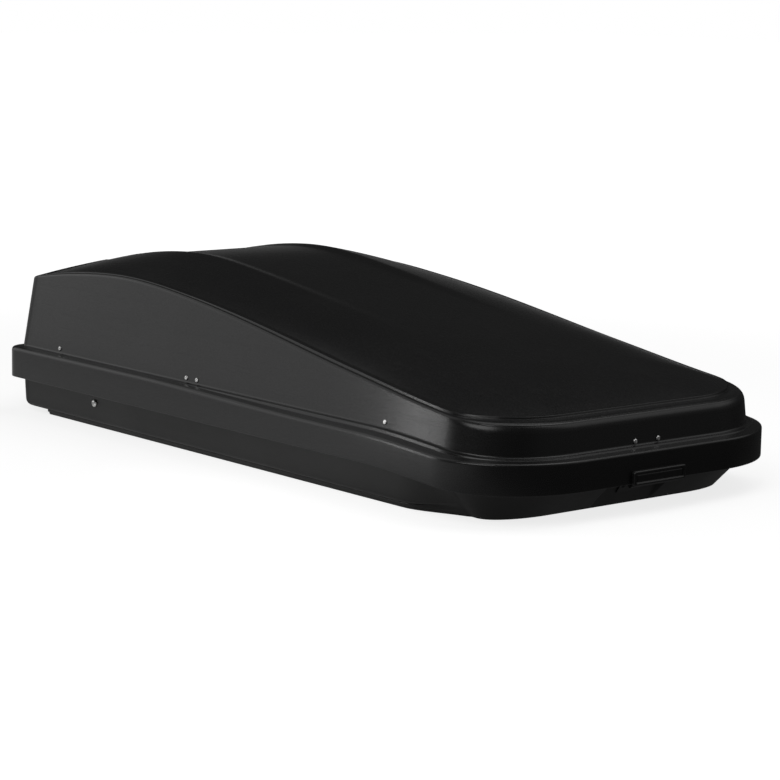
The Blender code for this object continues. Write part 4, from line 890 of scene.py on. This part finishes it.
# %% Bevels
BEVEL_WIDTHS = {"floor_bar": 0.0008, "hinge": 0.0004, "stay": 0.0004, "lid_guide": 0.0006,
                "lock": 0.0003, "catch": 0.0003}
BEVEL_SEGMENTS = 2
for name, node in nodes.items():
    stem = next((stem for stem in BEVEL_WIDTHS if name.startswith(stem)), None)
    if stem is None or node.hide_render:
        continue
    bevel = node.modifiers.new("Edges", "BEVEL")
    bevel.width = BEVEL_WIDTHS[stem]
    bevel.segments = BEVEL_SEGMENTS
    bevel.limit_method = "ANGLE"
    bevel.angle_limit = math.radians(SHARP_ANGLE)
print("bevelled", len([node for node in nodes.values() if node.modifiers]))

# %% [markdown]
# ## Black formed plastic
# The real sheet is satin black with a fine grain, a faint waviness from being drawn over the mould, and
# a little dust and rubbing. One flat black would look like paper, so the colour, the roughness and the
# surface itself each vary at their own scale. All of it is worked out from the object's own position,
# so it stays put from every side.

# %% Material helpers
def new_material(name):
    material = bpy.data.materials.new(name)
    material.use_nodes = True
    tree = material.node_tree
    return material, tree.nodes, tree.links, tree.nodes["Principled BSDF"]


def object_position(tree_nodes):
    return tree_nodes.new("ShaderNodeTexCoord").outputs["Object"]


def noise(tree_nodes, links, source, scale, detail=3.0, stretch=None):
    texture = tree_nodes.new("ShaderNodeTexNoise")
    texture.inputs["Scale"].default_value = scale
    texture.inputs["Detail"].default_value = detail
    if stretch is not None:
        mapping = tree_nodes.new("ShaderNodeMapping")
        mapping.inputs["Scale"].default_value = stretch
        links.new(source, mapping.inputs["Vector"])
        source = mapping.outputs["Vector"]
    links.new(source, texture.inputs["Vector"])
    return texture.outputs["Fac"]


def spread(tree_nodes, links, source, low, high, from_low=0.3, from_high=0.7, way="LINEAR"):
    """A range of values, which for a noise is its middle, spread between two values."""
    ramp = tree_nodes.new("ShaderNodeMapRange")
    ramp.interpolation_type = way
    for socket, value in (("From Min", from_low), ("From Max", from_high), ("To Min", low), ("To Max", high)):
        ramp.inputs[socket].default_value = value
    links.new(source, ramp.inputs["Value"])
    return ramp.outputs["Result"]


def math_node(tree_nodes, links, operation, *values):
    step = tree_nodes.new("ShaderNodeMath")
    step.operation = operation
    for socket, value in zip(step.inputs, values):
        if isinstance(value, float):
            socket.default_value = value
        else:
            links.new(value, socket)
    return step.outputs["Value"]


def along_direction(tree_nodes, links, source, direction):
    """How far a position or a direction reaches along a fixed direction."""
    product = tree_nodes.new("ShaderNodeVectorMath")
    product.operation = "DOT_PRODUCT"
    product.inputs[1].default_value = direction
    links.new(source, product.inputs[0])
    return product.outputs["Value"]


def mixed_colour(tree_nodes, links, share, first, second):
    mix = tree_nodes.new("ShaderNodeMix")
    mix.data_type = "RGBA"
    mix.inputs["A"].default_value = (*first, 1)
    mix.inputs["B"].default_value = (*second, 1)
    links.new(share, mix.inputs["Factor"])
    return mix.outputs["Result"]


def bump(tree_nodes, links, height, distance, strength, under=None):
    node = tree_nodes.new("ShaderNodeBump")
    node.inputs["Distance"].default_value = distance
    node.inputs["Strength"].default_value = strength
    links.new(height, node.inputs["Height"])
    if under is not None:
        links.new(under, node.inputs["Normal"])
    return node.outputs["Normal"]


# %% Black plastic
PATCH_SCALE = 5.0
SPECK_SCALE = 160.0
SPECK_RANGE = (0.52, 0.75)
DUSTY_RANGE = (0.4, 0.65)
LEAST_DUST = 0.1
UPWARD_RANGE = (0.2, 1.0)
RUB_SCALE = 40.0
RUB_STRETCH = (1.0, 0.06, 1.6)
RUB_RANGE = (0.5, 0.8)
RUB_ROUGHNESS = (-0.01, 0.02)
GRAIN_ROUGHNESS = (-0.03, 0.03)
GRAIN_STRENGTH = 0.35
WAVE_SCALE = 3.2
WAVE_DEPTH = 0.0030
WAVE_STRENGTH = 0.10
PLASTIC_IOR = 1.50


def black_plastic(name, colour, dusty, rough_low, rough_high, grain_scale, grain_depth):
    material, tree, links, shader = new_material(name)
    place = object_position(tree)
    patches = noise(tree, links, place, PATCH_SCALE, 4.0)
    specks = noise(tree, links, place, SPECK_SCALE, 2.0)
    rubs = noise(tree, links, place, RUB_SCALE, 5.0, stretch=RUB_STRETCH)
    grain = noise(tree, links, place, grain_scale, 2.0)
    waves = noise(tree, links, place, WAVE_SCALE, 1.0)
    upward = tree.new("ShaderNodeSeparateXYZ")
    links.new(tree.new("ShaderNodeNewGeometry").outputs["Normal"], upward.inputs["Vector"])
    facing_up = spread(tree, links, upward.outputs["Z"], 0.0, 1.0, *UPWARD_RANGE)
    dust = math_node(tree, links, "MULTIPLY", spread(tree, links, specks, 0.0, 1.0, *SPECK_RANGE),
                     spread(tree, links, patches, LEAST_DUST, 1.0, *DUSTY_RANGE))
    dust = math_node(tree, links, "MULTIPLY", dust, facing_up)
    links.new(mixed_colour(tree, links, dust, colour, dusty), shader.inputs["Base Color"])
    rough = math_node(tree, links, "ADD", spread(tree, links, patches, rough_low, rough_high),
                      spread(tree, links, rubs, *RUB_ROUGHNESS, *RUB_RANGE))
    rough = math_node(tree, links, "ADD", rough, spread(tree, links, grain, *GRAIN_ROUGHNESS))
    links.new(rough, shader.inputs["Roughness"])
    sheet = bump(tree, links, waves, WAVE_DEPTH, WAVE_STRENGTH)
    links.new(bump(tree, links, grain, grain_depth, GRAIN_STRENGTH, sheet), shader.inputs["Normal"])
    shader.inputs["IOR"].default_value = PLASTIC_IOR
    return material


# Each has its colour, its dusty colour, its least and most roughness, and the scale and depth of its grain.
lid_plastic = black_plastic("lid_satin_plastic", (0.0108, 0.0108, 0.0109), (0.018, 0.018, 0.018),
                            0.26, 0.30, 900.0, 0.00012)
tray_plastic = black_plastic("tray_satin_plastic", (0.0105, 0.0105, 0.0100), (0.018, 0.018, 0.017),
                             0.40, 0.50, 700.0, 0.00018)
trim_plastic = black_plastic("trim_moulded_plastic", (0.0090, 0.0090, 0.0090), (0.015, 0.015, 0.015),
                             0.30, 0.36, 1400.0, 0.00008)
nylon_plastic = black_plastic("moulded_nylon", (0.016, 0.016, 0.016), (0.022, 0.022, 0.022),
                              0.46, 0.56, 1800.0, 0.00010)
print("plastics", [finish.name for finish in (lid_plastic, tray_plastic, trim_plastic, nylon_plastic)])

# %% [markdown]
# ## Metals
# Rivets are bright aluminium with fine turning marks, the stays and bars are zinc-plated steel with a
# patchy crystalline coat, and the lock's face is polished chrome with faint wear. The difference is
# mostly roughness and how it varies, so one helper makes all three. No bright metal shows under the
# cover in the photograph, so the hinge is steel with a black coat, made with the plastic's helper.

# %% Metals
FINE_MARKS = 12
FINE_ROUGHNESS = (-0.04, 0.04)
MARK_SCALE = 900.0
MARK_STRETCH = (0.1, 1.0, 1.0)
MARK_STRENGTH = 0.4


def bright_metal(name, colour, shade, rough_low, rough_high, patch_scale, mark_depth):
    material, tree, links, shader = new_material(name)
    place = object_position(tree)
    patches = noise(tree, links, place, patch_scale, 3.0)
    fine = noise(tree, links, place, patch_scale * FINE_MARKS, 3.0)
    scratches = noise(tree, links, place, MARK_SCALE, 2.0, stretch=MARK_STRETCH)
    links.new(mixed_colour(tree, links, patches, colour, shade), shader.inputs["Base Color"])
    rough = math_node(tree, links, "ADD", spread(tree, links, patches, rough_low, rough_high),
                      spread(tree, links, fine, *FINE_ROUGHNESS))
    links.new(rough, shader.inputs["Roughness"])
    links.new(bump(tree, links, scratches, mark_depth, MARK_STRENGTH), shader.inputs["Normal"])
    shader.inputs["Metallic"].default_value = 1.0
    return material


rivet_metal = bright_metal("bright_aluminium", (0.90, 0.90, 0.89), (0.78, 0.78, 0.77),
                           0.26, 0.38, 220.0, 0.00003)
zinc_metal = bright_metal("zinc_plated_steel", (0.62, 0.62, 0.60), (0.48, 0.49, 0.48),
                          0.30, 0.46, 60.0, 0.00004)
chrome_metal = bright_metal("polished_chrome", (0.78, 0.78, 0.78), (0.70, 0.70, 0.71),
                            0.08, 0.16, 150.0, 0.00001)
coated_steel = black_plastic("black_coated_steel", (0.012, 0.012, 0.012), (0.020, 0.020, 0.019),
                             0.34, 0.44, 2600.0, 0.00005)
print("metals", [finish.name for finish in (rivet_metal, zinc_metal, chrome_metal, coated_steel)])

# %% Put the finishes on
COATED_NODES = ("hinge_base_leaf", "hinge_lid_leaf", "hinge_pin", "hinge_screw_left", "hinge_screw_right")
SLOT_MATERIALS = {"black_shell": lid_plastic, "black_tray": tray_plastic, "black_trim": trim_plastic,
                  "black_nylon": nylon_plastic, "rivet_aluminium": rivet_metal, "zinc_steel": zinc_metal,
                  "lock_chrome": chrome_metal}
FORMED_MATERIALS = {"lid_formed_shell": lid_plastic, "base_formed_tray": tray_plastic,
                    "nose_cover_plate": trim_plastic}


def finish_of(piece):
    """New pieces and the hinge by name, and every other CAD node by the name of its own material."""
    if piece.name in FORMED_MATERIALS:
        return FORMED_MATERIALS[piece.name]
    if piece.name in COATED_NODES:
        return coated_steel
    if piece.name.endswith(("_head", "_button")):
        return rivet_metal
    own = piece.data.materials
    return SLOT_MATERIALS.get(own[0].name.split(".")[0]) if own else None


finished = 0
for piece in [piece for piece in scene.objects if piece.type == "MESH"]:
    finish = finish_of(piece)
    if finish is None:
        continue
    if not piece.material_slots:
        piece.data.materials.append(finish)
    for slot in piece.material_slots:
        slot.material = finish
    finished += 1
print("finished pieces", finished)

# %% [markdown]
# ## Floor and background
# The picture has a plain white ground. The floor is white to the camera and keeps a faint soft shadow
# under the box, and turns whiter with distance, so no horizon shows. What the box reflects of it is
# another matter: in the photograph the floor is bright on the left and falls away into the dark at the
# front right, so that light is painted into the reflected floor: its colour fades the same way, and a
# painted glow lies round the box's foot, from a floor that is no lamp.

# %% Shader helpers for the surroundings
def emission(tree_nodes, links, strength):
    glow = tree_nodes.new("ShaderNodeEmission")
    links.new(strength, glow.inputs["Strength"])
    return glow.outputs[0]


def added(tree_nodes, links, first, second):
    both = tree_nodes.new("ShaderNodeAddShader")
    links.new(first, both.inputs[0])
    links.new(second, both.inputs[1])
    return both.outputs[0]


def seen_or_lit(tree_nodes, links, seen, lit, output_kind):
    """Ends a shader: the camera sees one part of it, and every other ray meets the other."""
    choose = tree_nodes.new("ShaderNodeMixShader")
    links.new(tree_nodes.new("ShaderNodeLightPath").outputs["Is Camera Ray"], choose.inputs["Fac"])
    links.new(lit, choose.inputs[1])
    links.new(seen, choose.inputs[2])
    links.new(choose.outputs[0], tree_nodes.new(output_kind).inputs["Surface"])


# %% Floor
FLOOR_HALF = 30.0
FLOOR_DROP = 0.0005
FLOOR_GLOW = 0.80
FAR_GLOW = 1.00
WHITEN_START = 1.2
WHITEN_END = 4.0
FLOOR_COLOUR = (0.45, 0.45, 0.45, 1)
# Painted light for reflected rays: the floor's colour brightens toward one side, and it glows along that side
# and round the box's foot.
BRIGHT_SIDE = (-0.50, 0.87, 0.0)
FADE_START = -0.90
FADE_END = 0.60
DIM_FLOOR = 0.05
GLOW_HALF_WIDTH = 0.50
GLOW_HALF_LENGTH = 0.88
GLOW_EDGE = (1.08, 0.90)
PAINTED_FOOT_GLOW = 0.06
PAINTED_SIDE_GLOW = 0.16
LIT_FLOOR = 0.85
floor_mesh = bpy.data.meshes.new("floor")
floor_mesh.from_pydata([(x, y, 0) for x, y in ((-1, -1), (1, -1), (1, 1), (-1, 1))], [], [(0, 1, 2, 3)])
floor_mesh.transform(Matrix.Diagonal((FLOOR_HALF, FLOOR_HALF, 1, 1)))
floor = bpy.data.objects.new("floor", floor_mesh)
floor.location.z = -FLOOR_DROP
scene.collection.objects.link(floor)
floor_material = bpy.data.materials.new("pale_floor")
floor_material.use_nodes = True
tree, links = floor_material.node_tree.nodes, floor_material.node_tree.links
tree.clear()
position = tree.new("ShaderNodeNewGeometry").outputs["Position"]

# What the camera sees: a pale floor that takes the shadow and turns white far away.
ground = tree.new("ShaderNodeBsdfDiffuse")
ground.inputs["Color"].default_value = FLOOR_COLOUR
far = tree.new("ShaderNodeVectorMath")
far.operation = "LENGTH"
links.new(position, far.inputs[0])
whiteness = spread(tree, links, far.outputs["Value"], FLOOR_GLOW, FAR_GLOW, WHITEN_START, WHITEN_END,
                   "SMOOTHSTEP")
seen_floor = added(tree, links, ground.outputs[0], emission(tree, links, whiteness))

# What the box reflects: painted light on the floor, a colour bright toward one side and a painted glow close
# to the box, from a floor that is no lamp.
toward_bright = along_direction(tree, links, position, BRIGHT_SIDE)
fade = spread(tree, links, toward_bright, DIM_FLOOR, LIT_FLOOR, FADE_START, FADE_END, "SMOOTHSTEP")
bounce = tree.new("ShaderNodeBsdfDiffuse")
links.new(fade, bounce.inputs["Color"])
# The painted glow round the box's foot, where the real floor lies in the box's shade.
split = tree.new("ShaderNodeSeparateXYZ")
links.new(position, split.inputs["Vector"])
reach = [math_node(tree, links, "DIVIDE", math_node(tree, links, "ABSOLUTE", split.outputs[axis]), half)
         for axis, half in (("X", GLOW_HALF_WIDTH), ("Y", GLOW_HALF_LENGTH))]
furthest = math_node(tree, links, "MAXIMUM", *reach)
under = spread(tree, links, furthest, 0.0, PAINTED_FOOT_GLOW, *GLOW_EDGE, "SMOOTHSTEP")
painted_floor_glow = math_node(tree, links, "MULTIPLY_ADD", fade, PAINTED_SIDE_GLOW, under)
floor_with_painted_light = added(tree, links, bounce.outputs[0], emission(tree, links, painted_floor_glow))
seen_or_lit(tree, links, seen_floor, floor_with_painted_light, "ShaderNodeOutputMaterial")
floor_mesh.materials.append(floor_material)
print("floor", 2 * FLOOR_HALF, "m wide")

# %% [markdown]
# ## Studio light
# Black plastic shows little colour of its own: what one sees is the room in it. The photograph's room
# has a bright soft light at the left that reaches round behind the box, a soft one overhead, and dark
# corners at the front right and back right, which keep the nose and the top dark. Those soft lights
# are lobes in the world: each is a direction, a brightness and how quickly it fades to the side.

# %% World
AMBIENT = 0.026
# Name, direction, brightness, and the angles in degrees at which it starts and ends to fade.
LOBES = (
    ("back_left", (-0.50, 0.87, 0.00), 0.74, 18, 38),
    ("back_high", (-0.22, 0.72, 0.66), 0.55, 8, 34),
    ("overhead", (0.66, -0.30, 0.69), 0.52, 10, 36),
    ("back_horizon", (0.62, 0.77, -0.08), 0.15, 5, 17),
    ("front_right", (0.62, -0.76, 0.10), 0.06, 20, 50),
)
WHITE = (1.0, 1.0, 1.0, 1)
world = bpy.data.worlds.new("studio")
scene.world = world
world.use_nodes = True
tree, links = world.node_tree.nodes, world.node_tree.links
tree.clear()
direction = tree.new("ShaderNodeTexCoord").outputs["Generated"]
total = None
for name, aim, level, inner, outer in LOBES:
    toward = along_direction(tree, links, direction, Vector(aim).normalized())
    lobe = spread(tree, links, toward, 0.0, level, math.cos(math.radians(outer)),
                  math.cos(math.radians(inner)), "SMOOTHERSTEP")
    total = lobe if total is None else math_node(tree, links, "ADD", total, lobe)
    print("light from", name, level)
total = math_node(tree, links, "ADD", total, AMBIENT)
studio, white = tree.new("ShaderNodeBackground"), tree.new("ShaderNodeBackground")
for background in (studio, white):
    background.inputs["Color"].default_value = WHITE
links.new(total, studio.inputs["Strength"])
seen_or_lit(tree, links, white.outputs[0], studio.outputs[0], "ShaderNodeOutputWorld")

# %% [markdown]
# ## Lamps
# Area lamps stand for the softboxes themselves. The large two lay a soft shadow under the box and give
# the small metal heads something to reflect. The tall narrow one stands close at the left, so that only
# the wall just before the nose corner mirrors it, which makes the photograph's one bright highlight.

# %% Area lamps
# Name, place, size, power in watts, and the place it points at.
LAMPS = (("key_softbox", (-2.6, -1.6, 2.6), (2.2, 2.2), 34.0, (0, 0, 0.15)),
         ("top_softbox", (0.8, -0.6, 3.2), (2.6, 2.6), 20.0, (0, 0, 0.15)),
         ("strip_softbox", (-0.80, -0.11, 0.30), (0.04, 0.45), 0.44, (-0.37, -0.58, 0.20)))
for name, place, size, power, target in LAMPS:
    lamp = bpy.data.lights.new(name, "AREA")
    lamp.shape = "RECTANGLE"
    lamp.size, lamp.size_y = size
    lamp.energy = power
    holder = bpy.data.objects.new(name, lamp)
    holder.visible_camera = False
    aim = Vector(target) - Vector(place)
    holder.matrix_world = Matrix.Translation(place) @ aim.to_track_quat("-Z", "Y").to_matrix().to_4x4()
    scene.collection.objects.link(holder)
    print(name, round(aim.length, 2))

# %% Picture settings and the end
scene.view_settings.view_transform = "Standard"
